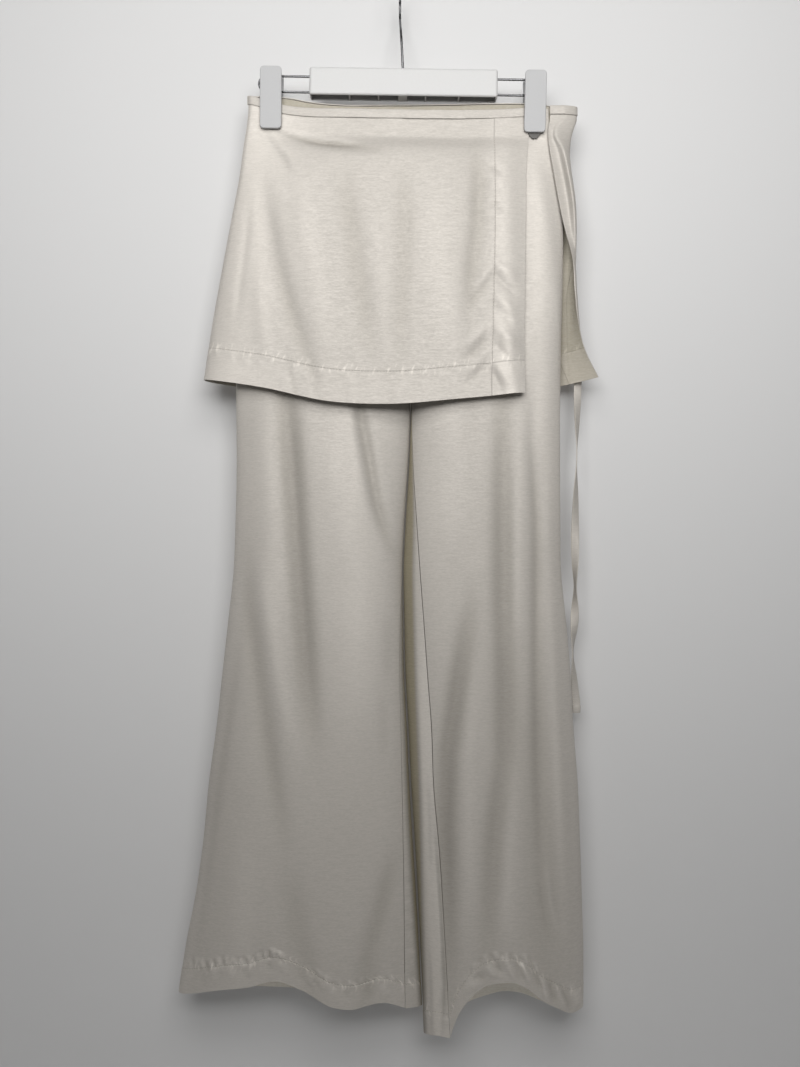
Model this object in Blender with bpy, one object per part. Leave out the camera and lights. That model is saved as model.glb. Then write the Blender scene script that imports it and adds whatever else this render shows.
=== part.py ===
"""Wide-leg trousers with a short wrap overskirt, held by a clip hanger.

Every size below is in millimetres. The origin is the point where the hook bears on
its rail, at the top of the hook's inside. X runs to the viewer's right, -Y faces the
viewer and Z is up. A drop is the distance below the origin. Left and right are the
viewer's.
"""
import math
from collections import namedtuple

import bmesh
import bpy
import numpy as np
from mathutils import Matrix

MILLIMETRE = 0.001

# ---------------------------------------------------------------- cloth
CLOTH = 1.0                 # wall of one layer
SEAM_GAP = 0.3              # between pieces that are sewn or touch
CENTRE_SEAM_X = 12.3        # the centre seams hang a little right of the hook
CROTCH_DROP = 411.0
CROTCH_BLEND = 330.0        # from here down the hip section closes into two legs
TROUSER_LAYER = 0.65        # pressed flat, from the seam plane to a trouser layer
OVERSKIRT_LAYER = 2.0       # the same for the overskirt, which lies outside it
TIP_ROUNDING = 2.5          # how fast a pressed edge opens to its layer
WAIST_BOW = 4.5             # front and back waist stand apart between the clips
WAIST_BOW_REACH = 132.0     # from the middle to the inner edge of a clip
CLIP_END_DROP = 166.0       # the cloth is flat down to here and then opens
HIP_OPEN_DROP = 230.0       # and stands open from here down
SECTION_POWER = 2.5         # flatness of a section's middle
FREE_BACK_X = 165.0         # the overskirt back leaves the trousers' back from here
FREE_BACK_RUN = 60.0        # and turns towards its free end over this much, at the hip
SEAM_PLANE_RUN = 15.0       # panels keep to their side of the seams this far below the crotch
STRIP_ANGLE = 0.6           # turn of a leg's ring over which its back hem meets the front's
PROBE_ANGLE = 0.03          # steps to the neighbours that give a surface its slope
PROBE_DROP = 3.0

# ---------------------------------------------------------------- waist binding
BINDING_WALL = 1.0
BINDING_HEIGHT = 10.0
WAIST_REFERENCE = 131.0     # drop of a straight waist, before its own curve
WAIST_FADE = 215.0          # where the waist's curve has died out
BINDING_FRONT_END = 163.0
BINDING_FRONT_COLUMNS = 40
CAP_CLEARANCE = 0.8         # from a layer's cut edge to the binding's fold

# ---------------------------------------------------------------- hems
HEM_REFERENCE = 1130.0
HEM_FADE = 985.0
SKIRT_HEM_REFERENCE = 445.0
SKIRT_HEM_FADE = 300.0

# One row for each level of a leg, from waist to hem: the outer edge, the inner edge,
# the inseam where it shows on the front, and half of the depth.
LegRow = namedtuple("LegRow", "drop outer inner inseam depth")
LEFT_LEG = [
    LegRow(130, -166.3, 12.15, 12.15, 0.0),
    LegRow(163, -165.2, 12.15, 12.15, 0.0),
    LegRow(182, -166.5, 12.15, 12.15, 4.5),
    LegRow(210, -169.7, 12.15, 12.15, 8.5),
    LegRow(260, -175.8, 12.15, 12.15, 12.0),
    LegRow(320, -181.4, 12.15, 12.15, 14.5),
    LegRow(411, -183.3, 11.6, 11.6, 17.0),
    LegRow(470, -183.1, 11.3, 11.3, 18.0),
    LegRow(540, -182.6, 8.4, 8.4, 19.5),
    LegRow(600, -183.9, 4.5, 4.5, 21.0),
    LegRow(660, -186.4, 2.0, 1.9, 22.5),
    LegRow(710, -191.9, 2.9, -0.2, 24.0),
    LegRow(770, -198.6, 4.0, -0.7, 25.0),
    LegRow(830, -205.2, 7.2, 0.7, 26.0),
    LegRow(890, -213.4, 9.9, 2.0, 27.0),
    LegRow(960, -220.3, 14.1, 3.4, 28.0),
    LegRow(1020, -228.7, 17.9, 4.3, 29.0),
    LegRow(1080, -239.7, 21.6, 4.8, 30.0),
    LegRow(1130, -247.2, 24.1, 5.4, 30.0),
]
RIGHT_LEG = [
    LegRow(130, 166.3, 12.45, 12.45, 0.0),
    LegRow(163, 167.4, 12.45, 12.45, 0.0),
    LegRow(182, 170.5, 12.45, 12.45, 4.5),
    LegRow(210, 174.7, 12.45, 12.45, 8.5),
    LegRow(260, 181.6, 12.45, 12.45, 12.0),
    LegRow(320, 182.0, 12.45, 12.45, 14.5),
    LegRow(411, 179.8, 13.0, 13.0, 17.0),
    LegRow(470, 179.0, 13.3, 13.3, 18.0),
    LegRow(540, 179.0, 14.2, 15.0, 19.5),
    LegRow(600, 179.4, 14.9, 18.6, 21.0),
    LegRow(660, 180.3, 16.1, 22.6, 22.5),
    LegRow(710, 185.4, 17.2, 26.3, 24.0),
    LegRow(770, 190.6, 19.0, 30.5, 25.0),
    LegRow(830, 193.8, 21.1, 34.9, 26.0),
    LegRow(890, 198.5, 23.4, 37.0, 27.0),
    LegRow(960, 201.3, 24.8, 43.0, 28.0),
    LegRow(1020, 203.3, 25.6, 47.3, 29.0),
    LegRow(1080, 205.0, 27.1, 51.9, 30.0),
    LegRow(1130, 204.4, 28.9, 55.4, 30.0),
]

# One row for each level of the overskirt: its left edge, the apron's free right edge,
# the right hip that the apron's curve is drawn round, and half of the depth.
SkirtRow = namedtuple("SkirtRow", "drop left free hip depth")
OVERSKIRT = [
    SkirtRow(130, -169.6, 144.4, 171.3, 0.0),
    SkirtRow(146, -169.6, 144.4, 171.3, 0.0),
    SkirtRow(163, -171.6, 144.0, 172.4, 0.0),
    SkirtRow(182, -175.0, 142.0, 176.0, 6.5),
    SkirtRow(210, -178.9, 140.2, 181.0, 12.5),
    SkirtRow(260, -188.2, 138.8, 187.0, 18.0),
    SkirtRow(320, -199.4, 137.6, 188.0, 22.0),
    SkirtRow(392, -211.7, 136.4, 187.0, 26.0),
    SkirtRow(445, -218.7, 136.6, 186.0, 28.5),
]

# One row for each level of the overskirt back's free end, which curls forward round
# the right hip: x and y of the points that its section runs through.
FlapRow = namedtuple(
    "FlapRow",
    "drop join_x join_y side_x side_y crest_x crest_y gutter_x gutter_y lead_x lead_y",
)
FLAP = [
    FlapRow(131, 193.0, 3.4, 196.6, 0.0, 185.0, -3.4, 176.0, -3.4, 167.5, -3.4),
    FlapRow(146, 193.0, 3.4, 196.6, 0.0, 185.0, -3.4, 176.0, -3.4, 167.5, -3.4),
    FlapRow(154, 190.0, 3.4, 193.6, -0.2, 178.0, -4.6, 171.5, -4.0, 165.9, -4.4),
    FlapRow(164, 187.5, 3.6, 191.0, -0.5, 175.5, -6.0, 170.0, -4.2, 165.3, -4.8),
    FlapRow(182, 186.0, 5.0, 189.8, -1.0, 181.5, -8.0, 175.0, -4.5, 166.7, -5.5),
    FlapRow(210, 188.0, 5.5, 192.0, -1.0, 187.0, -9.5, 181.0, -4.6, 171.0, -6.5),
    FlapRow(241, 192.0, 6.0, 196.0, -2.0, 192.1, -10.5, 186.5, -5.5, 176.3, -7.5),
    FlapRow(275, 192.5, 7.5, 197.2, -1.0, 195.0, -9.0, 190.2, -7.0, 183.4, -8.5),
    FlapRow(310, 190.5, 10.0, 195.0, 4.5, 196.8, -0.5, 195.5, -4.5, 193.0, -7.5),
    FlapRow(342, 184.2, 13.0, 190.5, 9.0, 194.0, 4.5, 195.8, 0.0, 195.8, -4.5),
    FlapRow(375, 183.9, 14.5, 190.8, 10.5, 194.8, 6.5, 197.4, 2.0, 199.4, -2.5),
    FlapRow(409, 184.0, 15.5, 191.9, 11.0, 197.5, 6.5, 202.4, 2.0, 206.3, -2.5),
    FlapRow(445, 184.2, 16.0, 194.4, 11.0, 204.8, 6.0, 213.6, 1.0, 221.5, -4.0),
]
FLAP_STEPS = (4, 5, 3, 3)   # columns from join to side, crest, gutter and lead
SKIRT_BACK_COLUMNS = 19

# Where an edge lies lower or higher than its straight reference line.
EdgeRow = namedtuple("EdgeRow", "x drop")
WAIST_FRONT = [
    EdgeRow(-170, 123.4), EdgeRow(-150, 128.8), EdgeRow(-131, 134.4), EdgeRow(-110, 137.4),
    EdgeRow(-65, 139.8), EdgeRow(0, 141.8), EdgeRow(70, 141.4), EdgeRow(139, 138.1),
    EdgeRow(167, 136.0),
]
WAIST_BACK = [
    EdgeRow(-170, 123.4), EdgeRow(-143, 124.0), EdgeRow(-128, 125.0), EdgeRow(-100, 129.6),
    EdgeRow(0, 131.2), EdgeRow(108, 131.2), EdgeRow(139, 131.5), EdgeRow(166, 133.5),
    EdgeRow(186, 135.8), EdgeRow(230, 135.8),
]
HEM_LEFT_FRONT = [
    EdgeRow(-247, 1126), EdgeRow(-193, 1117), EdgeRow(-166, 1115), EdgeRow(-136, 1111),
    EdgeRow(-107, 1120), EdgeRow(-76, 1132), EdgeRow(-56, 1134), EdgeRow(-14, 1129),
    EdgeRow(5, 1139),
]
HEM_LEFT_BACK = [
    EdgeRow(-247, 1126), EdgeRow(-200, 1133), EdgeRow(-147, 1138), EdgeRow(-70, 1138),
    EdgeRow(0, 1140), EdgeRow(24, 1142),
]
HEM_RIGHT_FRONT = [
    EdgeRow(55, 1168), EdgeRow(62, 1151), EdgeRow(71, 1139), EdgeRow(90, 1121),
    EdgeRow(112, 1114), EdgeRow(127, 1114), EdgeRow(141, 1118), EdgeRow(158, 1128),
    EdgeRow(171, 1134), EdgeRow(186, 1141), EdgeRow(204, 1141),
]
HEM_RIGHT_BACK = [
    EdgeRow(29, 1173), EdgeRow(44, 1168), EdgeRow(62, 1162), EdgeRow(78, 1156),
    EdgeRow(102, 1149), EdgeRow(122, 1145), EdgeRow(137, 1146), EdgeRow(166, 1153),
    EdgeRow(186, 1154), EdgeRow(204, 1142),
]
HEM_OVERSKIRT_FRONT = [
    EdgeRow(-218.7, 442.6), EdgeRow(-149, 454.6), EdgeRow(-78, 470), EdgeRow(-8, 473),
    EdgeRow(66, 467), EdgeRow(137, 460),
]
HEM_OVERSKIRT_BACK = [
    EdgeRow(-218.7, 442.6), EdgeRow(-140, 452), EdgeRow(-60, 460), EdgeRow(20, 461),
    EdgeRow(100, 455), EdgeRow(160, 448), EdgeRow(184, 446), EdgeRow(221.5, 439.4),
]

# The largest folds. A positive depth is a trough, a negative one a ridge; the path is
# the fold's line down the panel, as (x, drop).
Fold = namedtuple("Fold", "depth width path")
WAIST_DRAG = [
    Fold(3.0, 7.0, ((-128, 164), (-112, 172), (-80, 180), (-45, 183))),
    Fold(2.0, 7.0, ((-158, 172), (-146, 190), (-134, 204))),
]
FOLDS = {
    "trouser_front_left": [
        Fold(9.0, 13.0, ((-128, 505), (-118, 631), (-105, 757), (-94, 868))),
        Fold(10.0, 16.0, ((-159, 709), (-143, 823), (-119, 969), (-117, 1058), (-126, 1120))),
        Fold(7.0, 10.0, ((-43, 490), (-36, 552), (-24, 599), (-11, 637))),
        Fold(4.0, 10.0, ((-205, 790), (-207, 900), (-214, 1000))),
        Fold(-5.0, 24.0, ((-66, 555), (-53, 734), (-56, 1025), (-62, 1142))),
    ],
    "trouser_front_right": [
        Fold(8.0, 14.0, ((111, 505), (109, 689), (97, 868), (92, 969), (85, 1058))),
        Fold(7.0, 10.0, ((71, 756), (58, 868), (58, 1025))),
        Fold(4.5, 10.0, ((149, 487), (146, 711), (149, 913), (151, 1025))),
        Fold(4.0, 16.0, ((113, 1010), (121, 1080), (123, 1140))),
        Fold(-4.0, 14.0, ((163, 599), (167, 868), (174, 1058), (178, 1140))),
        Fold(-5.0, 9.0, ((45, 913), (58, 1080), (62, 1160))),
    ],
    "trouser_back_left": [
        Fold(9.0, 15.0, ((-98, 500), (-108, 660), (-112, 850), (-104, 1000))),
        Fold(8.0, 18.0, ((-168, 760), (-170, 900), (-178, 1120))),
        Fold(6.0, 12.0, ((-30, 500), (-40, 620), (-52, 780), (-56, 960), (-50, 1130))),
        Fold(-5.0, 20.0, ((-136, 800), (-142, 960), (-148, 1130))),
    ],
    "trouser_back_right": [
        Fold(9.0, 15.0, ((118, 500), (122, 680), (130, 880), (136, 1040))),
        Fold(7.0, 12.0, ((52, 520), (64, 660), (74, 860), (82, 1130))),
        Fold(5.0, 12.0, ((166, 820), (170, 960), (172, 1130))),
        Fold(-5.0, 18.0, ((98, 780), (104, 960), (110, 1130))),
    ],
    "overskirt_front": [
        Fold(4.5, 10.0, ((-142, 285), (-137, 325), (-130, 386), (-114, 440))),
        Fold(4.0, 13.0, ((-62, 215), (-49, 286), (-45, 353), (-34, 392))),
        Fold(4.5, 12.0, ((-2, 250), (4, 319), (9, 386), (30, 437))),
        Fold(3.0, 10.0, ((88, 218), (93, 254), (100, 310), (92, 390))),
        Fold(-3.0, 16.0, ((-97, 250), (-90, 350), (-82, 440))),
        Fold(-2.5, 16.0, ((52, 240), (60, 330), (66, 430))),
    ],
    "overskirt_back": [
        Fold(5.0, 13.0, ((-120, 240), (-132, 330), (-140, 440))),
        Fold(4.0, 12.0, ((-50, 225), (-56, 320), (-48, 440))),
        Fold(4.5, 13.0, ((26, 240), (30, 330), (40, 440))),
        Fold(3.5, 12.0, ((96, 230), (104, 320), (112, 440))),
        Fold(-3.0, 18.0, ((-10, 260), (-8, 350), (-4, 450))),
    ],
}

# ---------------------------------------------------------------- tie
TIE_WIDTH = 9.0
TIE_WALL = 1.0
TIE_ROWS = 64
TIE_END_WIDTH = 9.4
TIE_END_WALL = 2.4
TIE_END_HEIGHT = 9.6
# The tie's route, chosen by hand: where its middle hangs and how far it is turned.
TieRow = namedtuple("TieRow", "drop x y turn")
TIE = [
    TieRow(138, 187.0, 6.1, 0), TieRow(150, 186.0, 6.6, 0), TieRow(174, 185.4, 8.6, 10),
    TieRow(210, 186.6, 10.5, 25), TieRow(247, 191.0, 11.8, 45), TieRow(277, 195.4, 12.6, 58),
    TieRow(308, 198.2, 13.4, 64), TieRow(342, 199.9, 14.6, 60), TieRow(364, 201.0, 15.4, 50),
    TieRow(387, 202.2, 15.8, 35), TieRow(415, 202.7, 15.6, 18), TieRow(445, 202.0, 15.0, 5),
    TieRow(485, 201.2, 14.0, 40), TieRow(525, 200.5, 12.6, 80), TieRow(568, 199.2, 11.2, 45),
    TieRow(609, 198.2, 10.2, 5), TieRow(643, 198.2, 9.8, -35), TieRow(675, 198.2, 9.6, -80),
    TieRow(709, 197.6, 9.4, -10), TieRow(750, 195.4, 9.2, 72), TieRow(780, 197.0, 8.8, 30),
    TieRow(807, 199.3, 8.4, 0),
]

# ---------------------------------------------------------------- hanger
HANGER_TILT = math.radians(0.85)
WIRE_RADIUS = 1.4
ROD_RADIUS = 1.3
HOLE_CLEARANCE = 0.3
HOOK_RADIUS = 21.0          # of the wire's middle
HOOK_START_ANGLE = -25.0    # where the loop leaves the stem's bend, degrees
HOOK_END_ANGLE = 210.0
STEM_X = 3.4
STEM_END_DROP = 107.0
HookRow = namedtuple("HookRow", "drop x y")
HOOK_STEM = [
    HookRow(107, 3.4, 0.0), HookRow(95, 3.2, 0.0), HookRow(82, 2.7, 0.0),
    HookRow(69, 2.1, 0.0), HookRow(57, 1.4, 1.2), HookRow(47, 0.9, 5.4), HookRow(37.5, 0.4, 12.4),
]
BAR_LEFT = -100.7
BAR_RIGHT = 109.1
BAR_TOP_DROP = 95.8
BAR_BOTTOM_DROP = 126.7
BAR_DEPTH = 18.0
BAR_WALL = 2.0
BAR_ROOF = 3.0
BAR_ROUNDING = 2.5
RIB_WALL = 1.6
RIBS_X = (-56.0, -23.5, 29.1, 66.0)
HUB_LEFT = -1.6
HUB_RIGHT = 8.4
ROD_DROPS = (103.4, 121.0)
ROD_IN_BAR = 9.0
ROD_LEFT_END = -157.7
ROD_RIGHT_END = 161.0
CLIP_WIDTH = 24.0
CLIP_TOP_DROP = 97.5
CLIP_BOTTOM_DROP = 164.5
CLIP_WALL = 3.0
CLIP_CORNER = 4.0
CLIP_ROUNDING = 0.8
CLIP_TOP_SPREAD = 9.5       # from the middle plane to a plate's inside, at the top
CLIP_JAW_FRONT = 4.3        # the same at the jaw, which has a pad in front
CLIP_JAW_BACK = 3.15
CLIP_BLOCK_WIDTH = 20.0
CLIP_BLOCK_TOP_DROP = 98.5
CLIP_BLOCK_BOTTOM_DROP = 124.0
CLIP_BLOCK_FRONT = 7.1
SLOT_OVERLAP = 0.01         # of the slot for the rod's bend and the two rod holes
PAD_INSIDE = 2.8            # from the middle plane to the face on the cloth
PAD_WALL = 1.2
PAD_TOP_DROP = 150.0
PAD_WIDTH = 14.0
PAD_TIP_WIDTH = 5.0
ClipRow = namedtuple("ClipRow", "side x pad_drop")
CLIPS = [ClipRow("left", -143.3, 162.0), ClipRow("right", 151.2, 170.4)]

IVORY = (0.80, 0.76, 0.68)
WHITE = (0.86, 0.86, 0.85)
PALE_GREY = (0.66, 0.66, 0.66)
DARK = (0.05, 0.05, 0.05)
STEEL = (0.55, 0.55, 0.55)


# ================================================================ tables and curves
def smoothstep(start, end, value):
    share = np.clip((np.asarray(value, float) - start) / (end - start), 0.0, 1.0)
    return share * share * (3.0 - 2.0 * share)


def table_value(rows, place, column, at):
    """A table's column at given places, on a smooth curve through its rows."""
    places = np.array([getattr(row, place) for row in rows], float)
    values = np.array([getattr(row, column) for row in rows], float)
    slopes = np.gradient(values, places)
    at = np.clip(np.asarray(at, float), places[0], places[-1])
    index = np.clip(np.searchsorted(places, at) - 1, 0, len(places) - 2)
    step = places[index + 1] - places[index]
    share = (at - places[index]) / step
    square = share * share
    cube = square * share
    start = (2 * cube - 3 * square + 1) * values[index]
    start = start + (cube - 2 * square + share) * step * slopes[index]
    end = (3 * square - 2 * cube) * values[index + 1]
    end = end + (cube - square) * step * slopes[index + 1]
    return start + end


def at_drop(rows, column, drop):
    return table_value(rows, "drop", column, drop)


def edge_drop(rows, x):
    return table_value(rows, "x", "drop", x)


def smooth_path(points, steps):
    """Points on a smooth curve through the given ones, a number of steps apart."""
    points = np.asarray(points, float)
    before = 2 * points[:1] - points[1:2]
    after = 2 * points[-1:] - points[-2:-1]
    padded = np.concatenate([before, points, after])
    path = []
    for index, count in enumerate(steps):
        a, b, c, d = padded[index:index + 4]
        for share in np.arange(count) / count:
            turn = (c - a) * share
            bend = (2 * a - 5 * b + 4 * c - d) * share ** 2
            twist = (3 * b - a - 3 * c + d) * share ** 3
            path.append(b + 0.5 * (turn + bend + twist))
    path.append(points[-1])
    return np.array(path)


def distance_to_path(x, drop, path):
    """Shortest distance from each point of a panel to a fold's line."""
    best = np.full(np.broadcast(x, drop).shape, np.inf)
    for (x0, drop0), (x1, drop1) in zip(path, path[1:]):
        run_x = x1 - x0
        run_drop = drop1 - drop0
        along = ((x - x0) * run_x + (drop - drop0) * run_drop) / (run_x ** 2 + run_drop ** 2)
        along = np.clip(along, 0.0, 1.0)
        gap = np.hypot(x - x0 - along * run_x, drop - drop0 - along * run_drop)
        best = np.minimum(best, gap)
    return best


def fold_depth(folds, x, drop):
    depth = np.zeros(np.broadcast(x, drop).shape)
    for fold in folds:
        distance = distance_to_path(x, drop, fold.path)
        depth = depth + fold.depth * np.exp(-(distance / fold.width) ** 2)
    return depth


# ================================================================ cloth surfaces
def roundness(across):
    """Height of a section's curve at a place across it, from 1 in the middle to 0."""
    return np.clip(1.0 - np.abs(across) ** SECTION_POWER, 0.0, 1.0)


def waist_bow(x, drop):
    reach = np.clip(1.0 - (x / WAIST_BOW_REACH) ** 2, 0.0, 1.0)
    return WAIST_BOW * reach ** 2 * (1.0 - smoothstep(CLIP_END_DROP, HIP_OPEN_DROP, drop))


def section_root(drop):
    """Sharpness of a section's ends: nearly a lens at the waist, an oval in the legs."""
    return 1.0 / (1.2 + 0.8 * smoothstep(CLIP_END_DROP, CROTCH_DROP, drop))


def hip_offset(x, drop):
    """Distance of a trouser layer from the middle plane, above the crotch."""
    left = at_drop(LEFT_LEG, "outer", drop)
    right = at_drop(RIGHT_LEG, "outer", drop)
    depth = np.maximum(at_drop(LEFT_LEG, "depth", drop), 0.0)
    edge = np.clip(np.minimum(x - left, right - x), 0.0, None)
    pressed = TROUSER_LAYER * np.tanh(edge / TIP_ROUNDING)
    across = (2 * x - left - right) / (right - left)
    return pressed + waist_bow(x, drop) + depth * roundness(across) ** section_root(drop)


def waist_drag(x, drop):
    """Depth of the folds that run from a clip, through the apron and the trousers."""
    return fold_depth(WAIST_DRAG, x, drop) * smoothstep(0.0, 6.0, hip_offset(x, drop))


def trouser_point(name, angle, drop):
    """A point of a leg's ring: angle 0 is the side seam, pi the inner edge by the front."""
    rows = LEFT_LEG if name.endswith("left") else RIGHT_LEG
    outer = at_drop(rows, "outer", drop)
    inner = at_drop(rows, "inner", drop)
    x = outer + (inner - outer) * (1.0 - np.cos(angle)) / 2
    round_leg = roundness(np.cos(angle)) ** 0.5
    leg = at_drop(rows, "depth", drop) * round_leg
    closing = smoothstep(CROTCH_BLEND, CROTCH_DROP, drop)
    panel_side = 1.0 if "front" in name else -1.0
    ring_side = np.where(np.sin(angle) >= 0, 1.0, -1.0)
    on_ring = (np.cos(angle) > 0) | (np.asarray(drop) >= CROTCH_DROP)
    side = np.where(on_ring, ring_side, panel_side)
    relief = fold_depth(FOLDS[name], x, drop) * (1.0 - closing + closing * round_leg)
    relief = np.where(side == panel_side, relief, 0.0)
    offset = (1.0 - closing) * hip_offset(x, drop) + closing * leg
    offset = offset - relief * smoothstep(0.0, 6.0, offset)
    if "front" in name:
        offset = offset - waist_drag(x, drop)
    return x, -side * offset


def skirt_offset(x, drop):
    """Distance of the overskirt from the middle plane, round the left side."""
    left = at_drop(OVERSKIRT, "left", drop)
    hip = at_drop(OVERSKIRT, "hip", drop)
    depth = np.maximum(at_drop(OVERSKIRT, "depth", drop), 0.0)
    pressed = OVERSKIRT_LAYER * np.tanh(np.clip(x - left, 0.0, None) / TIP_ROUNDING)
    across = (2 * x - left - hip) / (hip - left)
    return pressed + waist_bow(x, drop), depth, across


def apron_point(angle, drop):
    left = at_drop(OVERSKIRT, "left", drop)
    free = at_drop(OVERSKIRT, "free", drop)
    x = left + (free - left) * (1.0 - np.cos(angle)) / 2
    flat, depth, across = skirt_offset(x, drop)
    offset = flat + depth * roundness(across) ** section_root(drop)
    relief = fold_depth(FOLDS["overskirt_front"], x, drop)
    offset = offset - relief * smoothstep(0.0, 6.0, offset) - waist_drag(x, drop)
    side = np.where(np.sin(angle) >= 0, 1.0, -1.0)
    return x, -side * offset


def skirt_back_row(drop, columns):
    """Section of the overskirt back at one level, from the left seam to its free end."""
    left = at_drop(OVERSKIRT, "left", drop)
    join_x = at_drop(FLAP, "join_x", drop)
    join_y = at_drop(FLAP, "join_y", drop)
    share = np.linspace(0.0, 1.0, columns)
    x = left + (join_x - left) * (1.0 - np.cos(share * math.pi / 2))
    flat, depth, across = skirt_offset(x, drop)
    across = np.minimum(across, 0.0)
    offset = flat + depth * roundness(across) ** section_root(drop)
    relief = fold_depth(FOLDS["overskirt_back"], x, np.full_like(x, float(drop)))
    offset = offset - relief * smoothstep(0.0, 6.0, offset)
    opening = smoothstep(CLIP_END_DROP, HIP_OPEN_DROP, drop)
    start = FREE_BACK_X + (join_x - FREE_BACK_RUN - FREE_BACK_X) * opening
    turning = np.clip((x - start) / (join_x - start), 0.0, 1.0) ** 2.5
    y = offset + (join_y - offset) * turning
    back = np.stack([x, y], axis=1)
    names = ("join", "side", "crest", "gutter", "lead")
    corners = [[at_drop(FLAP, name + axis, drop) for axis in ("_x", "_y")] for name in names]
    corners = np.array([back[-2]] + corners, float)
    flap = smooth_path(corners, (1,) + FLAP_STEPS)
    return np.concatenate([back, flap[2:]])


# ================================================================ walls
def unit(vectors):
    length = np.linalg.norm(vectors, axis=-1, keepdims=True)
    return vectors / np.maximum(length, 1e-9)


def add_mesh(name, points, faces, material):
    mesh = bpy.data.meshes.new(name)
    mesh.from_pydata((np.asarray(points, float) * MILLIMETRE).tolist(), [], faces)
    work = bmesh.new()
    work.from_mesh(mesh)
    bmesh.ops.recalc_face_normals(work, faces=work.faces)
    work.to_mesh(mesh)
    work.free()
    mesh.shade_smooth()
    mesh.set_sharp_from_angle(angle=math.radians(40))
    piece = bpy.data.objects.new(name, mesh)
    piece.data.materials.append(material)
    bpy.context.scene.collection.objects.link(piece)
    return piece


def add_wall(name, outside, inside, material):
    """A closed wall between two grids of points, with all four of its edges."""
    rows, columns = outside.shape[:2]
    layer = rows * columns
    points = np.concatenate([outside.reshape(-1, 3), inside.reshape(-1, 3)])
    faces = []
    for row in range(rows - 1):
        for column in range(columns - 1):
            a = row * columns + column
            b = a + 1
            c = a + columns + 1
            d = a + columns
            faces.append((a, b, c, d))
            faces.append((a + layer, d + layer, c + layer, b + layer))
    top = list(range(columns))
    bottom = [(rows - 1) * columns + column for column in range(columns)]
    left = [row * columns for row in range(rows)]
    right = [row * columns + columns - 1 for row in range(rows)]
    for edge in (top, bottom, left, right):
        for a, b in zip(edge, edge[1:]):
            faces.append((a, b, b + layer, a + layer))
    return add_mesh(name, points, faces, material)


def leg_rows():
    waist = [131, 141, 153, 165, 176, 190, 210, 240, 280, 330, 370, 400]
    below = [425, 470, 520, 570, 620, 670, 720, 775, 830, 885, 935, 985, 1025, 1060, 1095, 1130]
    return np.array(waist + below, float)


def level(drop, top_drop, hem_drop, top_fade, hem_fade, hem_reference):
    """True drop of a row's point, once the waist and hem curves are added."""
    waist = (top_drop - WAIST_REFERENCE) * (1.0 - smoothstep(WAIST_REFERENCE, top_fade, drop))
    hem = (hem_drop - hem_reference) * smoothstep(hem_fade, hem_reference, drop)
    return drop + waist + hem


def trouser_grid(name, angle, drop):
    """Points of a trouser panel in space, at a grid of angles and drops."""
    x, y = trouser_point(name, angle, drop)
    left = name.endswith("left")
    waist_rows = WAIST_FRONT if "front" in name else WAIST_BACK
    front_hem = HEM_LEFT_FRONT if left else HEM_RIGHT_FRONT
    back_hem = HEM_LEFT_BACK if left else HEM_RIGHT_BACK
    top = edge_drop(waist_rows, x) + BINDING_WALL + CAP_CLEARANCE
    hem = edge_drop(front_hem if "front" in name else back_hem, x)
    if "back" in name:
        inner_hem = back_hem[-1].drop if left else back_hem[0].drop
        seam_hem = front_hem[-1].drop if left else front_hem[0].drop
        strip = np.clip((np.abs(angle) - math.pi) / STRIP_ANGLE, 0.0, 1.0)
        hem = np.where(np.abs(angle) > math.pi, inner_hem + (seam_hem - inner_hem) * strip, hem)
    true_drop = level(drop, top, hem, WAIST_FADE, HEM_FADE, HEM_REFERENCE)
    return np.stack([x, y, -true_drop], axis=-1)


def seam_angle(name, drop):
    """Angle of the inseam on a leg's ring; pi where it lies on the inner edge."""
    rows = LEFT_LEG if name.endswith("left") else RIGHT_LEG
    outer = at_drop(rows, "outer", drop)
    inner = at_drop(rows, "inner", drop)
    inseam = at_drop(rows, "inseam", drop)
    cosine = 1.0 - 2.0 * (inseam - outer) / (inner - outer)
    return np.arccos(np.clip(cosine, -1.0, 1.0))


def keep_to_side(layer, front, left):
    """Hold a panel's hips on its own side of the side seams and the centre seam."""
    hips = layer[..., 2] > -CROTCH_DROP - SEAM_PLANE_RUN
    gap = np.where(hips, SEAM_GAP / 2, -np.inf)
    if front:
        layer[..., 1] = np.minimum(layer[..., 1], -gap)
    else:
        layer[..., 1] = np.maximum(layer[..., 1], gap)
    if left:
        layer[..., 0] = np.minimum(layer[..., 0], CENTRE_SEAM_X - gap)
    else:
        layer[..., 0] = np.maximum(layer[..., 0], CENTRE_SEAM_X + gap)


def make_trouser_panel(name, columns, material):
    drop = np.repeat(leg_rows()[:, None], columns, axis=1)
    seam = seam_angle(name, leg_rows())[:, None]
    front = "front" in name
    last = seam if front else 2 * math.pi - seam
    turn = 1.0 if front else -1.0
    speed = np.maximum(at_drop(LEFT_LEG, "depth", leg_rows())[:, None], 4.0)
    set_back = SEAM_GAP / 2 / speed
    share = np.linspace(0.0, 1.0, columns)[None, :]
    angle = turn * (set_back + (last - 2 * set_back) * share)
    centre = trouser_grid(name, angle, drop)
    ahead = angle + PROBE_ANGLE
    behind = angle - PROBE_ANGLE
    above_crotch = drop < CROTCH_DROP
    ahead = np.where(above_crotch, np.clip(ahead, -math.pi, math.pi), ahead)
    behind = np.where(above_crotch, np.clip(behind, -math.pi, math.pi), behind)
    across = trouser_grid(name, ahead, drop) - trouser_grid(name, behind, drop)
    above = trouser_grid(name, angle, drop - PROBE_DROP)
    down = trouser_grid(name, angle, drop + PROBE_DROP) - above
    left = name.endswith("left")
    normal = unit(np.cross(down, across)) * (1.0 if left else -1.0)
    outside = centre + normal * CLOTH / 2
    inside = centre - normal * CLOTH / 2
    for layer in (outside, inside):
        keep_to_side(layer, front, left)
    return add_wall(name, outside, inside, material)


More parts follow.
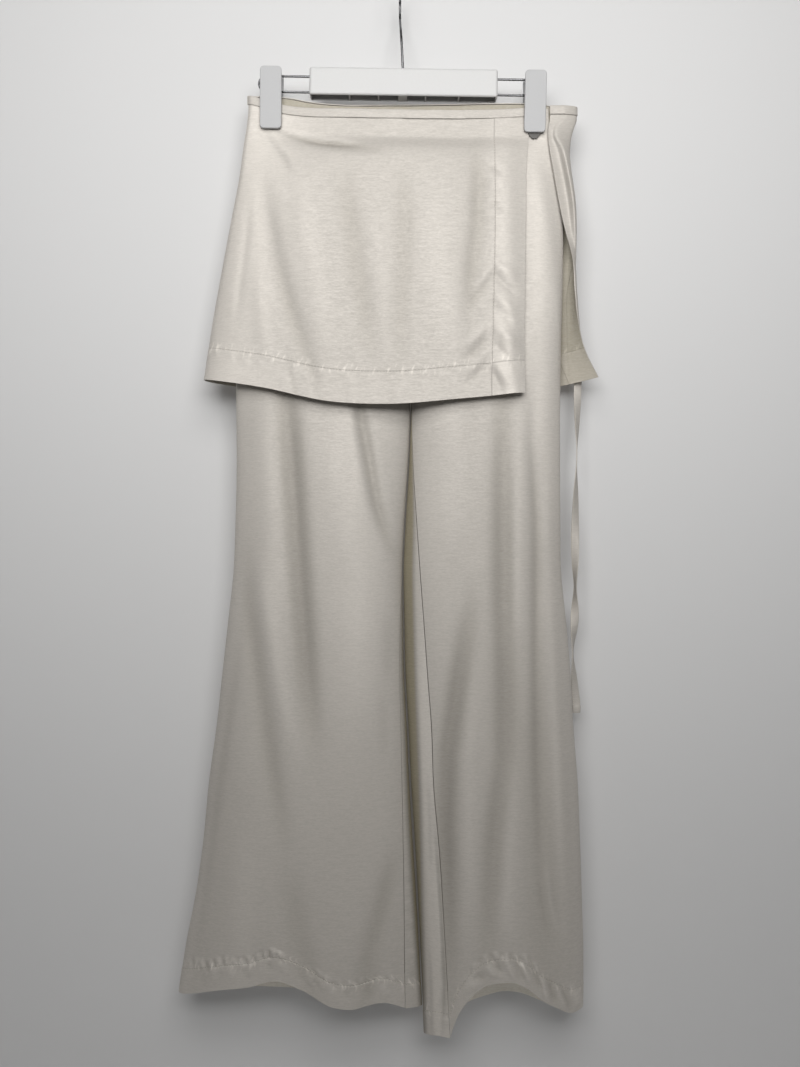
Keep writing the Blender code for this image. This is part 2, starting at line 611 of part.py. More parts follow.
def apron_grid(angle, drop):
    x, y = apron_point(angle, drop)
    top = edge_drop(WAIST_FRONT, x) + BINDING_WALL + CAP_CLEARANCE
    hem = edge_drop(HEM_OVERSKIRT_FRONT, x)
    true_drop = level(drop, top, hem, WAIST_FADE, SKIRT_HEM_FADE, SKIRT_HEM_REFERENCE)
    return np.stack([x, y, -true_drop], axis=-1)


def skirt_rows():
    waist = [131, 145, 155, 165, 174, 184, 197, 212, 230]
    below = [250, 272, 295, 318, 342, 368, 394, 420, 445]
    return np.array(waist + below, float)


def make_apron(material, columns=19):
    levels = skirt_rows()
    drop = np.repeat(levels[:, None], columns, axis=1)
    speed = np.maximum(at_drop(OVERSKIRT, "depth", levels)[:, None], 8.0)
    start = SEAM_GAP / 2 / speed
    angle = start + (math.pi - start) * np.linspace(0.0, 1.0, columns)[None, :]
    centre = apron_grid(angle, drop)
    ahead = np.minimum(angle + PROBE_ANGLE, math.pi)
    across = apron_grid(ahead, drop) - apron_grid(angle - PROBE_ANGLE, drop)
    down = apron_grid(angle, drop + PROBE_DROP) - apron_grid(angle, drop - PROBE_DROP)
    normal = unit(np.cross(down, across))
    outside = centre + normal * CLOTH / 2
    inside = centre - normal * CLOTH / 2
    for layer in (outside, inside):
        layer[..., 1] = np.minimum(layer[..., 1], -SEAM_GAP / 2)
    return add_wall("overskirt_front", outside, inside, material)


def skirt_back_grid(levels, columns=SKIRT_BACK_COLUMNS):
    plans = np.array([skirt_back_row(drop, columns) for drop in levels])
    x = plans[..., 0]
    y = plans[..., 1]
    on_flap = np.arange(x.shape[1])[None, :] >= columns
    drop = np.repeat(levels[:, None], x.shape[1], axis=1)
    top = np.where(on_flap, WAIST_BACK[-1].drop, edge_drop(WAIST_BACK, x))
    top = top + BINDING_WALL + CAP_CLEARANCE
    hem = edge_drop(HEM_OVERSKIRT_BACK, x)
    true_drop = level(drop, top, hem, WAIST_FADE, SKIRT_HEM_FADE, SKIRT_HEM_REFERENCE)
    return np.stack([x, y, -true_drop], axis=-1)


def grid_normals(grid):
    """Normals of a grid whose first column lies on the left edge, where it turns."""
    mirrored = grid[:, 1:2] * np.array([1.0, -1.0, 1.0])
    wide = np.concatenate([mirrored, grid], axis=1)
    across = np.gradient(wide, axis=1)[:, 1:]
    down = np.gradient(grid, axis=0)
    return unit(np.cross(across, down))


def make_skirt_back(material):
    centre = skirt_back_grid(skirt_rows())
    normal = grid_normals(centre)
    outside = centre + normal * CLOTH / 2
    inside = centre - normal * CLOTH / 2
    for layer in (outside, inside):
        layer[:, :3, 1] = np.maximum(layer[:, :3, 1], SEAM_GAP / 2)
    return add_wall("overskirt_back", outside, inside, material)


def make_binding(name, path, top_drops, reach, material):
    """A strip folded over the waist edge: an outer leg and a cap, along a plan path."""
    ahead = np.gradient(path, axis=0)
    outward = unit(np.stack([ahead[:, 1], -ahead[:, 0]], axis=1))
    if name == "binding_back":
        outward = -outward
        outward[0] = (-1.0, 0.0)
    outer_face = CLOTH / 2 + SEAM_GAP + BINDING_WALL
    inner_face = CLOTH / 2 + SEAM_GAP
    points = []
    for place, out, top, inward in zip(path, outward, top_drops, reach):
        section = (
            (outer_face, 0.0), (outer_face, BINDING_HEIGHT), (inner_face, BINDING_HEIGHT),
            (inner_face, BINDING_WALL), (-inward, BINDING_WALL), (-inward, 0.0),
        )
        for offset, below in section:
            spot = place + out * offset
            points.append([spot[0], spot[1], -(top + below)])
    points = np.array(points)
    if name == "binding_front":
        points[:, 1] = np.minimum(points[:, 1], -SEAM_GAP / 2)
    else:
        hips = points[:, 0] < FREE_BACK_X
        points[hips, 1] = np.maximum(points[hips, 1], SEAM_GAP / 2)
    corners = 6
    faces = [tuple(range(corners)), tuple(range(len(points) - corners, len(points)))]
    for index in range(len(path) - 1):
        for corner in range(corners):
            following = (corner + 1) % corners
            a = index * corners + corner
            b = index * corners + following
            faces.append((a, b, b + corners, a + corners))
    return add_mesh(name, points, faces, material)


def make_bindings(material):
    columns = BINDING_FRONT_COLUMNS
    angles = np.linspace(0.02, math.pi, columns)
    left = at_drop(OVERSKIRT, "left", WAIST_REFERENCE)
    x = left + (BINDING_FRONT_END - left) * (1.0 - np.cos(angles)) / 2
    flat = skirt_offset(x, WAIST_REFERENCE)[0]
    front = np.stack([x, -flat], axis=1)
    tops = edge_drop(WAIST_FRONT, x)
    make_binding("binding_front", front, tops, np.full(columns, OVERSKIRT_LAYER), material)
    back = skirt_back_grid(np.array([WAIST_REFERENCE]))[0]
    tops = -back[:, 2] - BINDING_WALL - CAP_CLEARANCE
    index = np.arange(len(back))
    beyond = (back[:, 0] > FREE_BACK_X) | (index >= SKIRT_BACK_COLUMNS)
    reach = np.where(beyond, CLOTH / 2 + SEAM_GAP, OVERSKIRT_LAYER)
    make_binding("binding_back", back[:, :2], tops, reach, material)


# ================================================================ tie
def tie_frame(drop):
    place = np.stack([at_drop(TIE, "x", drop), at_drop(TIE, "y", drop), -drop], axis=-1)
    turn = np.radians(at_drop(TIE, "turn", drop))
    across = np.stack([np.cos(turn), np.sin(turn), np.zeros_like(turn)], axis=-1)
    facing = np.stack([np.sin(turn), -np.cos(turn), np.zeros_like(turn)], axis=-1)
    return place, across, facing


def make_tie(material):
    drop = np.linspace(TIE[0].drop, TIE[-1].drop, TIE_ROWS)
    place, across, facing = tie_frame(drop)
    edges = [place - across * TIE_WIDTH / 2, place + across * TIE_WIDTH / 2]
    strip = np.stack(edges, axis=1)
    half_wall = facing[:, None, :] * TIE_WALL / 2
    add_wall("tie", strip + half_wall, strip - half_wall, material)
    end = np.array([TIE[-1].drop + SEAM_GAP, TIE[-1].drop + SEAM_GAP + TIE_END_HEIGHT])
    place = np.array([[TIE[-1].x, TIE[-1].y, -row] for row in end])
    side = np.array([TIE_END_WIDTH / 2, 0.0, 0.0])
    wall = np.array([0.0, -TIE_END_WALL / 2, 0.0])
    strip = np.stack([place - side, place + side], axis=1)
    piece = add_wall("tie_end", strip + wall, strip - wall, material)
    add_bevel(piece, 0.6, 2)


# ================================================================ hanger
def add_bevel(piece, width, segments):
    bevel = piece.modifiers.new("rounded edges", "BEVEL")
    bevel.width = width * MILLIMETRE
    bevel.segments = segments
    bevel.limit_method = "ANGLE"
    bevel.angle_limit = math.radians(40)
    return bevel


def box_points(low, high):
    x0, y0, z0 = low
    x1, y1, z1 = high
    return [
        (x0, y0, z0), (x1, y0, z0), (x1, y1, z0), (x0, y1, z0),
        (x0, y0, z1), (x1, y0, z1), (x1, y1, z1), (x0, y1, z1),
    ]


BOX_FACES = [(3, 2, 1, 0), (4, 5, 6, 7), (0, 1, 5, 4), (1, 2, 6, 5), (2, 3, 7, 6), (3, 0, 4, 7)]


def cylinder_points(start, end, radius, sides=12):
    """A round bar along X, or along Z where its ends differ in Z."""
    points = []
    for x, y, z in (start, end):
        for index in range(sides):
            turn = 2 * math.pi * index / sides
            if start[0] != end[0]:
                points.append((x, y + radius * math.cos(turn), z + radius * math.sin(turn)))
            else:
                points.append((x + radius * math.cos(turn), y + radius * math.sin(turn), z))
    return points


def cylinder_faces(sides=12):
    faces = [tuple(range(sides)), tuple(range(sides, 2 * sides))]
    for index in range(sides):
        following = (index + 1) % sides
        faces.append((index, following, following + sides, index + sides))
    return faces


def add_cutter(name, solids, material):
    """One guide object from several solids, which cuts another and isn't built."""
    points = []
    faces = []
    for solid_points, solid_faces in solids:
        start = len(points)
        points.extend(solid_points)
        faces.extend([tuple(corner + start for corner in face) for face in solid_faces])
    cutter = add_mesh(name, points, faces, material)
    cutter.hide_render = True
    cutter.display_type = "WIRE"
    return cutter


def cut(piece, cutter, operation="DIFFERENCE"):
    boolean = piece.modifiers.new("cut", "BOOLEAN")
    boolean.operation = operation
    boolean.object = cutter
    boolean.solver = "EXACT"


def hang_on(piece, tilt):
    """Place a piece, made in the level hanger's frame, on the tilted one."""
    piece.parent = tilt
    piece.location = tuple(-value for value in tilt.location)


def make_bar(tilt, material):
    low = (BAR_LEFT, -BAR_DEPTH / 2, -BAR_BOTTOM_DROP)
    high = (BAR_RIGHT, BAR_DEPTH / 2, -BAR_TOP_DROP)
    bar = add_mesh("hanger_bar", box_points(low, high), BOX_FACES, material)
    add_bevel(bar, BAR_ROUNDING, 3)
    half = RIB_WALL / 2
    starts = [BAR_LEFT + BAR_WALL, RIBS_X[0] + half, RIBS_X[1] + half]
    starts = starts + [HUB_RIGHT, RIBS_X[2] + half, RIBS_X[3] + half]
    ends = [RIBS_X[0] - half, RIBS_X[1] - half, HUB_LEFT]
    ends = ends + [RIBS_X[2] - half, RIBS_X[3] - half, BAR_RIGHT - BAR_WALL]
    inside = BAR_DEPTH / 2 - BAR_WALL
    solids = []
    for start, end in zip(starts, ends):
        low = (start, -inside, -BAR_BOTTOM_DROP - 5)
        high = (end, inside, -BAR_TOP_DROP - BAR_ROOF)
        solids.append((box_points(low, high), BOX_FACES))
    hole = WIRE_RADIUS + HOLE_CLEARANCE
    top = (STEM_X, 0.0, -BAR_TOP_DROP + 5)
    bottom = (STEM_X, 0.0, -STEM_END_DROP - 1)
    solids.append((cylinder_points(bottom, top, hole), cylinder_faces()))
    hollows = add_cutter("bar_hollows", solids, material)
    hole = ROD_RADIUS + HOLE_CLEARANCE
    holes = []
    for drop in ROD_DROPS:
        for end in (BAR_LEFT, BAR_RIGHT):
            start_point = (end - BAR_WALL - 1, 0.0, -drop)
            end_point = (end + BAR_WALL + 1, 0.0, -drop)
            holes.append((cylinder_points(start_point, end_point, hole), cylinder_faces()))
    rod_holes = add_cutter("bar_rod_holes", holes, material)
    for cutter in (hollows, rod_holes):
        cut(bar, cutter)
        hang_on(cutter, tilt)
    hang_on(bar, tilt)


def add_wire(name, points, radius, material):
    curve = bpy.data.curves.new(name, "CURVE")
    curve.dimensions = "3D"
    curve.bevel_depth = radius * MILLIMETRE
    curve.bevel_resolution = 2
    curve.use_fill_caps = True
    spline = curve.splines.new("POLY")
    spline.points.add(len(points) - 1)
    for slot, point in zip(spline.points, points):
        slot.co = (*(float(value) * MILLIMETRE for value in point), 1.0)
    curve.materials.append(material)
    wire = bpy.data.objects.new(name, curve)
    bpy.context.scene.collection.objects.link(wire)
    return wire


def make_hook(material):
    """Stem up from the bar, a bend to the back, and the loop over the rail to the front."""
    centre_z = WIRE_RADIUS - HOOK_RADIUS
    stem = [(row.x, row.y, -row.drop) for row in HOOK_STEM]
    turns = np.radians(np.linspace(HOOK_START_ANGLE, HOOK_END_ANGLE, 24))
    loop = [(0.0, HOOK_RADIUS * math.cos(t), centre_z + HOOK_RADIUS * math.sin(t)) for t in turns]
    points = smooth_path(stem + loop[:1], [3] * len(stem))
    add_wire("hook", np.concatenate([points, np.array(loop[1:])]), WIRE_RADIUS, material)


def make_rod(name, bar_end, rod_end, tilt, material):
    """A U of wire, both of whose ends are held in the bar."""
    away = math.copysign(1.0, rod_end)
    radius = (ROD_DROPS[1] - ROD_DROPS[0]) / 2
    middle_z = -(ROD_DROPS[0] + ROD_DROPS[1]) / 2
    bend_x = rod_end - away * radius
    inside_x = bar_end - away * ROD_IN_BAR
    points = [(inside_x, 0.0, -ROD_DROPS[0])]
    for turn in np.radians(np.linspace(90, -90, 13)):
        x = bend_x + away * radius * math.cos(turn)
        points.append((x, 0.0, middle_z + radius * math.sin(turn)))
    points.append((inside_x, 0.0, -ROD_DROPS[1]))
    rod = add_wire(name, points, ROD_RADIUS, material)
    hang_on(rod, tilt)


def rounded_plate(name, centre_x, jaw, side, material):
    """A clip's plate: a rounded rectangle that leans out from its jaw to its top."""
    half_width = CLIP_WIDTH / 2
    half_height = (CLIP_BOTTOM_DROP - CLIP_TOP_DROP) / 2
    outline = []
    quarters = ((1, 1, 0), (-1, 1, 90), (-1, -1, 180), (1, -1, 270))
    for right, up, start in quarters:
        corner_x = right * (half_width - CLIP_CORNER)
        corner_z = up * (half_height - CLIP_CORNER)
        for step in range(5):
            turn = math.radians(start + 22.5 * step)
            x = corner_x + CLIP_CORNER * math.cos(turn)
            outline.append((x, corner_z + CLIP_CORNER * math.sin(turn)))
    count = len(outline)
    points = []
    for depth in (0.0, CLIP_WALL):
        for x, z in outline:
            share = (z + half_height) / (2 * half_height)
            spread = jaw + (CLIP_TOP_SPREAD - jaw) * share + depth
            drop = CLIP_BOTTOM_DROP - share * (CLIP_BOTTOM_DROP - CLIP_TOP_DROP)
            points.append((centre_x + x, side * spread, -drop))
    faces = [tuple(range(count)), tuple(range(count, 2 * count))]
    for index in range(count):
        following = (index + 1) % count
        faces.append((index, following, following + count, index + count))
    plate = add_mesh(name, points, faces, material)
    add_bevel(plate, CLIP_ROUNDING, 2)
    return plate


def make_clip(row, tilt, plastic, pad_material):
    front = rounded_plate(f"clip_{row.side}_front", row.x, CLIP_JAW_FRONT, -1, plastic)
    back = rounded_plate(f"clip_{row.side}_back", row.x, CLIP_JAW_BACK, 1, plastic)
    half = CLIP_BLOCK_WIDTH / 2
    low = (row.x - half, -CLIP_BLOCK_FRONT, -CLIP_BLOCK_BOTTOM_DROP)
    high = (row.x + half, CLIP_TOP_SPREAD + CLIP_WALL / 2, -CLIP_BLOCK_TOP_DROP)
    block = add_cutter(f"clip_{row.side}_block", [(box_points(low, high), BOX_FACES)], plastic)
    holes = []
    radius = ROD_RADIUS + HOLE_CLEARANCE
    for drop in ROD_DROPS:
        start = (row.x - CLIP_WIDTH, 0.0, -drop)
        end = (row.x + CLIP_WIDTH, 0.0, -drop)
        holes.append((cylinder_points(start, end, radius), cylinder_faces()))
    bend = (ROD_DROPS[1] - ROD_DROPS[0]) / 2
    start = row.x - CLIP_WIDTH
    end = ROD_LEFT_END + bend
    if row.side == "right":
        start = ROD_RIGHT_END - bend
        end = row.x + CLIP_WIDTH
    low = (start, -radius, -ROD_DROPS[1] - SLOT_OVERLAP)
    high = (end, radius, -ROD_DROPS[0] + SLOT_OVERLAP)
    holes.append((box_points(low, high), BOX_FACES))
    cut(back, block, "UNION")
    cutters = [block]
    for index, hole in enumerate(holes):
        cutter = add_cutter(f"clip_{row.side}_hole_{index}", [hole], plastic)
        cut(back, cutter)
        cutters.append(cutter)
    pad = make_pad(row, pad_material)
    for piece in [front, back, pad] + cutters:
        hang_on(piece, tilt)


def make_pad(row, material):
    """A thin pad under the front jaw, narrower at its tip."""
    points = []
    for y in (-PAD_INSIDE, -PAD_INSIDE - PAD_WALL):
        points.append((row.x - PAD_WIDTH / 2, y, -PAD_TOP_DROP))
        points.append((row.x + PAD_WIDTH / 2, y, -PAD_TOP_DROP))
        points.append((row.x + PAD_WIDTH / 2, y, -row.pad_drop + 5))
        points.append((row.x + PAD_TIP_WIDTH / 2, y, -row.pad_drop))
        points.append((row.x - PAD_TIP_WIDTH / 2, y, -row.pad_drop))
        points.append((row.x - PAD_WIDTH / 2, y, -row.pad_drop + 5))
    faces = [tuple(range(6)), tuple(range(6, 12))]
    for index in range(6):
        following = (index + 1) % 6
        faces.append((index, following, following + 6, index + 6))
    return add_mesh(f"pad_{row.side}", points, faces, material)


# ================================================================ materials
def principled(name, colour, roughness, metallic=0.0):
    material = bpy.data.materials.new(name)
    material.use_nodes = True
    shader = material.node_tree.nodes["Principled BSDF"]
    shader.inputs["Base Color"].default_value = (*colour, 1.0)
    shader.inputs["Roughness"].default_value = roughness
    shader.inputs["Metallic"].default_value = metallic
    return material


def clear_scene():
    for piece in list(bpy.data.objects):
        bpy.data.objects.remove(piece, do_unlink=True)


def main():
    clear_scene()
    satin = {name: principled(name + "_satin", IVORY, 0.5) for name in FOLDS}
    make_trouser_panel("trouser_front_left", 14, satin["trouser_front_left"])
    make_trouser_panel("trouser_front_right", 14, satin["trouser_front_right"])
    make_trouser_panel("trouser_back_left", 16, satin["trouser_back_left"])
    make_trouser_panel("trouser_back_right", 16, satin["trouser_back_right"])
    make_apron(satin["overskirt_front"])
    make_skirt_back(satin["overskirt_back"])
    make_bindings(principled("binding_satin", IVORY, 0.5))
    make_tie(principled("tie_satin", IVORY, 0.5))
    tilt = bpy.data.objects.new("hanger_tilt", None)
    bpy.context.scene.collection.objects.link(tilt)
    pivot = Matrix.Translation((STEM_X * MILLIMETRE, 0.0, -BAR_TOP_DROP * MILLIMETRE))
    tilt.matrix_world = pivot @ Matrix.Rotation(HANGER_TILT, 4, "Y")
    steel = principled("steel_wire", STEEL, 0.25, 1.0)
    plastic = principled("clip_plastic", PALE_GREY, 0.4)
    make_bar(tilt, principled("white_plastic", WHITE, 0.35))
    make_hook(steel)
    make_rod("rod_left", BAR_LEFT, ROD_LEFT_END, tilt, steel)
    make_rod("rod_right", BAR_RIGHT, ROD_RIGHT_END, tilt, steel)
    rubber = principled("pad_rubber", DARK, 0.7)
    for row in CLIPS:
        make_clip(row, tilt, plastic, rubber)


main()
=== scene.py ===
"""Looks of the wide-leg trousers with a wrap overskirt, on their clip hanger.

The cloth pieces repeat the forms of the solids, in millimetres like them, with finer
creases, hems and stitches, and are turned into metres where their meshes are made. The
origin is where the hook bears on its rail. X runs to the viewer's right, -Y faces the
viewer and Z is up. A drop is the distance below the origin. Left and right are the
viewer's.
"""
import math
from collections import namedtuple

import bmesh
import bpy
import numpy as np
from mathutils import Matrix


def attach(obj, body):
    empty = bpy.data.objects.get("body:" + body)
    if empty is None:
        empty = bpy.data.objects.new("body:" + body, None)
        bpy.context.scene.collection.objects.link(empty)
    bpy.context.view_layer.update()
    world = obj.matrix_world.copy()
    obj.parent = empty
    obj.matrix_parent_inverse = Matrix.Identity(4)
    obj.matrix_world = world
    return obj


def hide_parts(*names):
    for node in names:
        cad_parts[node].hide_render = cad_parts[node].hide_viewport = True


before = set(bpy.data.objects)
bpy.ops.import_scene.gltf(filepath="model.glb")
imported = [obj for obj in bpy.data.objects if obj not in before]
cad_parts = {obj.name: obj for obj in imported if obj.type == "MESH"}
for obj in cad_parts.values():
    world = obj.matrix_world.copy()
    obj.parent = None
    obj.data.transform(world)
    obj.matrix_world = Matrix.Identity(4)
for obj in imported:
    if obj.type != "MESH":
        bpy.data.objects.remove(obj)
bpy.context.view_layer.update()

MILLIMETRE = 0.001
BODY = "root"
LEG_COLUMNS, SKIRT_COLUMNS, BINDING_COLUMNS = ((132, 150, 180))
SKIRT_ROWS, TIE_ROWS = ((130, 420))


def table(row, *lines):
    """Rows whose values have the names of the table's columns."""
    return [row(*line) for line in lines]


# ---------------- cloth
SHELL = 0.8                 # wall of the cloth that shows
HEM_STEP = 0.4              # a turned edge stands this much proud
HEM_STEP_RUN = (-0.6, 0.9)  # from under to over the line of stitches
LEG_HEM = 26.0
SKIRT_HEM = 36.0
HEM_FLARE = 3.0             # how far the apron's stiffer hem stands forward
HEM_FLARE_END = 460.0       # from the drop where it does
FOLD_FADE = 0.35            # share of a fold's line over which it dies out
FOLD_HEIGHT = 0.55          # share of a fold's depth that is modelled; its painted shade has it all
DRAG_HEIGHT = 0.4           # the same for the folds that run from a clip
PRESSED_DEPTH = 6.0         # folds flatten where a section is thinner than this
UNEVENNESS = 0.5            # of cloth that hangs free
UNEVEN_KNOTS = 32           # random heights across and down, with smooth cloth between
UNEVEN_LEFT = -320.0        # x of the first one
UNEVEN_WIDTH = 24.0         # from one to the next
UNEVEN_HEIGHT = 62.0
PANEL_SEED = 11
BINDING_SEED = 31
DEEP_SHADE = 15.0           # between the legs, as a fold this deep
DEEP_SHADE_RUN = 40.0       # below the crotch, to its full depth
SHADE_SOFTNESS = 3.5
EDGE_LIGHT = 5.0            # on the legs' side edges, as a ridge this high
EDGE_REACH = 13.0
APRON_EDGE_LIGHT = 10.0
APRON_EDGE_REACH = 60.0
NO_LINE = 1000.0            # a panel without that line of stitches
FIELDS = ("hem_line", "edge_line", "fold")      # what the finish of cloth reads at each point; fold sets the shade and light painted into its colour
PLAIN_FIELDS = {"hem_line": NO_LINE, "edge_line": NO_LINE, "fold": 0.0}
SEAM_GAP = 0.3              # between pieces that are sewn or touch
CENTRE_SEAM_X = 12.3        # the centre seams hang a little right of the hook
CROTCH_DROP = 411.0
CROTCH_BLEND = 330.0        # from here down the hip section closes into two legs
TROUSER_LAYER = 0.65        # pressed flat, from the seam plane to a trouser layer
OVERSKIRT_LAYER = 2.0       # the same for the overskirt, which lies outside it
TIP_ROUNDING = 2.5          # how fast a pressed edge opens to its layer
WAIST_BOW = 4.5             # front and back waist stand apart between the clips
WAIST_BOW_REACH = 132.0     # from the middle to the inner edge of a clip
CLIP_END_DROP = 166.0       # the cloth is flat down to here and then opens
HIP_OPEN_DROP = 230.0       # and stands open from here down
SECTION_POWER = 2.5         # flatness of a section's middle
LENS_ROOT = 1.2             # sharpness of a section's ends at the waist
OVAL_ROOT = 2.0             # and in the legs
LEAST_LEG_DEPTH = 4.0       # that sets how far a panel starts from its side seam
LEAST_SKIRT_DEPTH = 8.0
FREE_BACK_X = 165.0         # the overskirt back leaves the trousers' back from here
FREE_BACK_RUN = 60.0        # and turns towards its free end over this much, at the hip
SEAM_PLANE_RUN = 15.0       # panels keep to their side of the seams this far below the crotch
STRIP_ANGLE = 0.6           # turn of a leg's ring over which its back hem meets the front's
SHARP_ANGLE = math.radians(50)

# ---------------- waist binding and hems
BINDING_WALL = 1.0
BINDING_FRONT_START = 0.02  # turn from the side seam
BINDING_FRONT_END = 163.0
BINDING_RIPPLE = 0.12
BINDING_WAVE = 0.15
CAP_CLEARANCE = 0.8         # from a layer's cut edge to the binding's fold
WAIST_REFERENCE = 131.0     # drop of a straight waist, before its own curve
WAIST_FADE = 215.0          # where the waist's curve has died out
HEM_REFERENCE = 1130.0
HEM_FADE = 985.0
SKIRT_HEM_REFERENCE = 445.0
SKIRT_HEM_FADE = 300.0
PLACKET_STITCHES = (172.0, 414.0)   # drops between which its line of stitches shows
PLACKET_HEM_END = 94.0      # where the apron's hem stitches stop

# One row for each level of a leg, from waist to hem: the outer edge, the inner edge,
# the inseam where it shows on the front, where the shade between the legs ends, and half
# of the depth.
LegRow = namedtuple("LegRow", "drop outer inner inseam shade depth")
LEFT_LEG = table(
    LegRow,
    (130, -166.3, 12.15, 12.15, 12.15, 0),
    (163, -165.2, 12.15, 12.15, 12.15, 0),
    (182, -166.5, 12.15, 12.15, 12.15, 4.5),
    (210, -169.7, 12.15, 12.15, 12.15, 8.5),
    (260, -175.8, 12.15, 12.15, 12.15, 12),
    (320, -181.4, 12.15, 12.15, 12.15, 14.5),
    (411, -183.3, 11.6, 11.6, 11.2, 17),
    (470, -183.1, 11.3, 11.3, 10, 18),
    (540, -182.6, 8.4, 8.4, 6.9, 19.5),
    (600, -183.9, 4.5, 4.5, 3, 21),
    (660, -186.4, 2, 1.9, 0.9, 22.5),
    (710, -191.9, 2.9, -0.2, 0.6, 24),
    (770, -198.6, 4, -0.7, 1.2, 25),
    (830, -205.2, 7.2, 0.7, 3.6, 26),
    (890, -213.4, 9.9, 2, 6, 27),
    (960, -220.3, 14.1, 3.4, 9.4, 28),
    (1020, -228.7, 17.9, 4.3, 13, 29),
    (1080, -239.7, 21.6, 4.8, 17.6, 30),
    (1130, -247.2, 24.1, 5.4, 21.6, 30),
)
RIGHT_LEG = table(
    LegRow,
    (130, 166.3, 12.45, 12.45, 12.45, 0),
    (163, 167.4, 12.45, 12.45, 12.45, 0),
    (182, 170.5, 12.45, 12.45, 12.45, 4.5),
    (210, 174.7, 12.45, 12.45, 12.45, 8.5),
    (260, 181.6, 12.45, 12.45, 12.45, 12),
    (320, 182, 12.45, 12.45, 12.45, 14.5),
    (411, 179.8, 12.7, 12.7, 12.9, 17),
    (470, 179, 12.7, 13.3, 14.6, 18),
    (540, 179, 10.4, 15, 16, 19.5),
    (600, 179.4, 6.7, 18.6, 16.5, 21),
    (660, 180.3, 4.2, 22.6, 15.6, 22.5),
    (710, 185.4, 5.1, 26.3, 16.6, 24),
    (770, 190.6, 6.4, 30.5, 18.4, 25),
    (830, 193.8, 9.8, 34.9, 20.8, 26),
    (890, 198.5, 12.6, 37, 23.2, 27),
    (960, 201.3, 17, 43, 24.8, 28),
    (1020, 203.3, 20.8, 47.3, 25.6, 29),
    (1080, 205, 24.8, 51.9, 27.4, 30),
    (1130, 204.4, 27.4, 55.4, 29.2, 30),
)

# One row for each level of the overskirt: its left edge, the apron's free right edge,
# the right hip that the apron's curve is drawn round, and half of the depth.
SkirtRow = namedtuple("SkirtRow", "drop left free hip depth")
OVERSKIRT = table(
    SkirtRow,
    (130, -169.6, 144.4, 171.3, 0),
    (146, -169.6, 144.4, 171.3, 0),
    (163, -171.6, 144, 172.4, 0),
    (182, -175, 142, 176, 6.5),
    (210, -178.9, 140.2, 181, 12.5),
    (260, -188.2, 138.8, 187, 18),
    (320, -199.4, 137.6, 188, 22),
    (392, -211.7, 136.4, 187, 26),
    (445, -218.7, 136.6, 186, 28.5),
)

# One row for each level of the overskirt back's free end, which curls forward round
# the right hip: x and y of the points that its section runs through.
FlapRow = namedtuple(
    "FlapRow",
    "drop join_x join_y side_x side_y crest_x crest_y gutter_x gutter_y lead_x lead_y",
)
FLAP = table(
    FlapRow,
    (131, 193, 3.4, 196.6, 0, 185, -3.4, 176, -3.4, 167.5, -3.4),
    (146, 193, 3.4, 196.6, 0, 185, -3.4, 176, -3.4, 167.5, -3.4),
    (154, 190, 3.4, 193.6, -0.2, 178, -4.6, 171.5, -4, 165.9, -4.4),
    (164, 187.5, 3.6, 191, -0.5, 175.5, -6, 170, -4.2, 165.3, -4.8),
    (182, 186, 5, 189.8, -1, 181.5, -8, 175, -4.5, 166.7, -5.5),
    (210, 188, 5.5, 192, -1, 187, -9.5, 181, -4.6, 171, -6.5),
    (241, 192, 6, 196, -2, 192.1, -10.5, 186.5, -5.5, 176.3, -7.5),
    (275, 192.5, 7.5, 197.2, -1, 195, -9, 190.2, -7, 183.4, -8.5),
    (310, 190.5, 10, 195, 4.5, 196.8, -0.5, 195.5, -4.5, 193, -7.5),
    (342, 184.2, 13, 190.5, 9, 194, 4.5, 195.8, 0, 195.8, -4.5),
    (375, 183.9, 14.5, 190.8, 10.5, 194.8, 6.5, 197.4, 2, 199.4, -2.5),
    (409, 184, 15.5, 191.9, 11, 197.5, 6.5, 202.4, 2, 206.3, -2.5),
    (445, 184.2, 16, 194.4, 11, 204.8, 6, 213.6, 1, 221.5, -4),
)
FLAP_STEPS = (14, 20, 12, 14)   # columns from join to side, crest, gutter and lead
FLAP_START = 1 - 1 / 18   # the place before the join that gives the flap its direction

# Where an edge lies lower or higher than its straight reference line.
EdgeRow = namedtuple("EdgeRow", "x drop")
WAIST_FRONT = table(
    EdgeRow,
    (-170, 123.4), (-150, 128.8), (-131, 134.4), (-110, 137.4),
    (-65, 139.8), (0, 141.8), (70, 141.4), (139, 138.1),
    (167, 136),
)
WAIST_BACK = table(
    EdgeRow,
    (-170, 123.4), (-143, 124), (-128, 125), (-100, 129.6),
    (0, 131.2), (108, 131.2), (139, 131.5), (166, 133.5),
    (186, 135.8), (230, 135.8),
)
HEM_LEFT_FRONT = table(
    EdgeRow,
    (-247, 1126), (-193, 1113), (-166, 1109), (-136, 1102),
    (-107, 1112), (-76, 1130), (-56, 1134), (-14, 1129),
    (5, 1137),
)
HEM_LEFT_BACK = table(
    EdgeRow,
    (-247, 1126), (-200, 1133), (-147, 1138), (-70, 1138),
    (0, 1140), (24, 1142),
)
HEM_RIGHT_FRONT = table(
    EdgeRow,
    (55, 1167), (62, 1145), (71, 1129), (89, 1111),
    (110, 1104), (124, 1104), (138, 1110), (158, 1126),
    (171, 1133), (186, 1141), (204, 1141),
)
HEM_RIGHT_BACK = table(
    EdgeRow,
    (29, 1173), (44, 1168), (62, 1162), (78, 1156),
    (102, 1149), (122, 1145), (137, 1146), (166, 1153),
    (186, 1154), (204, 1142),
)
HEM_OVERSKIRT_FRONT = table(
    EdgeRow,
    (-218.7, 442.6), (-149, 454.6), (-78, 470), (-8, 473),
    (66, 467), (137, 460),
)
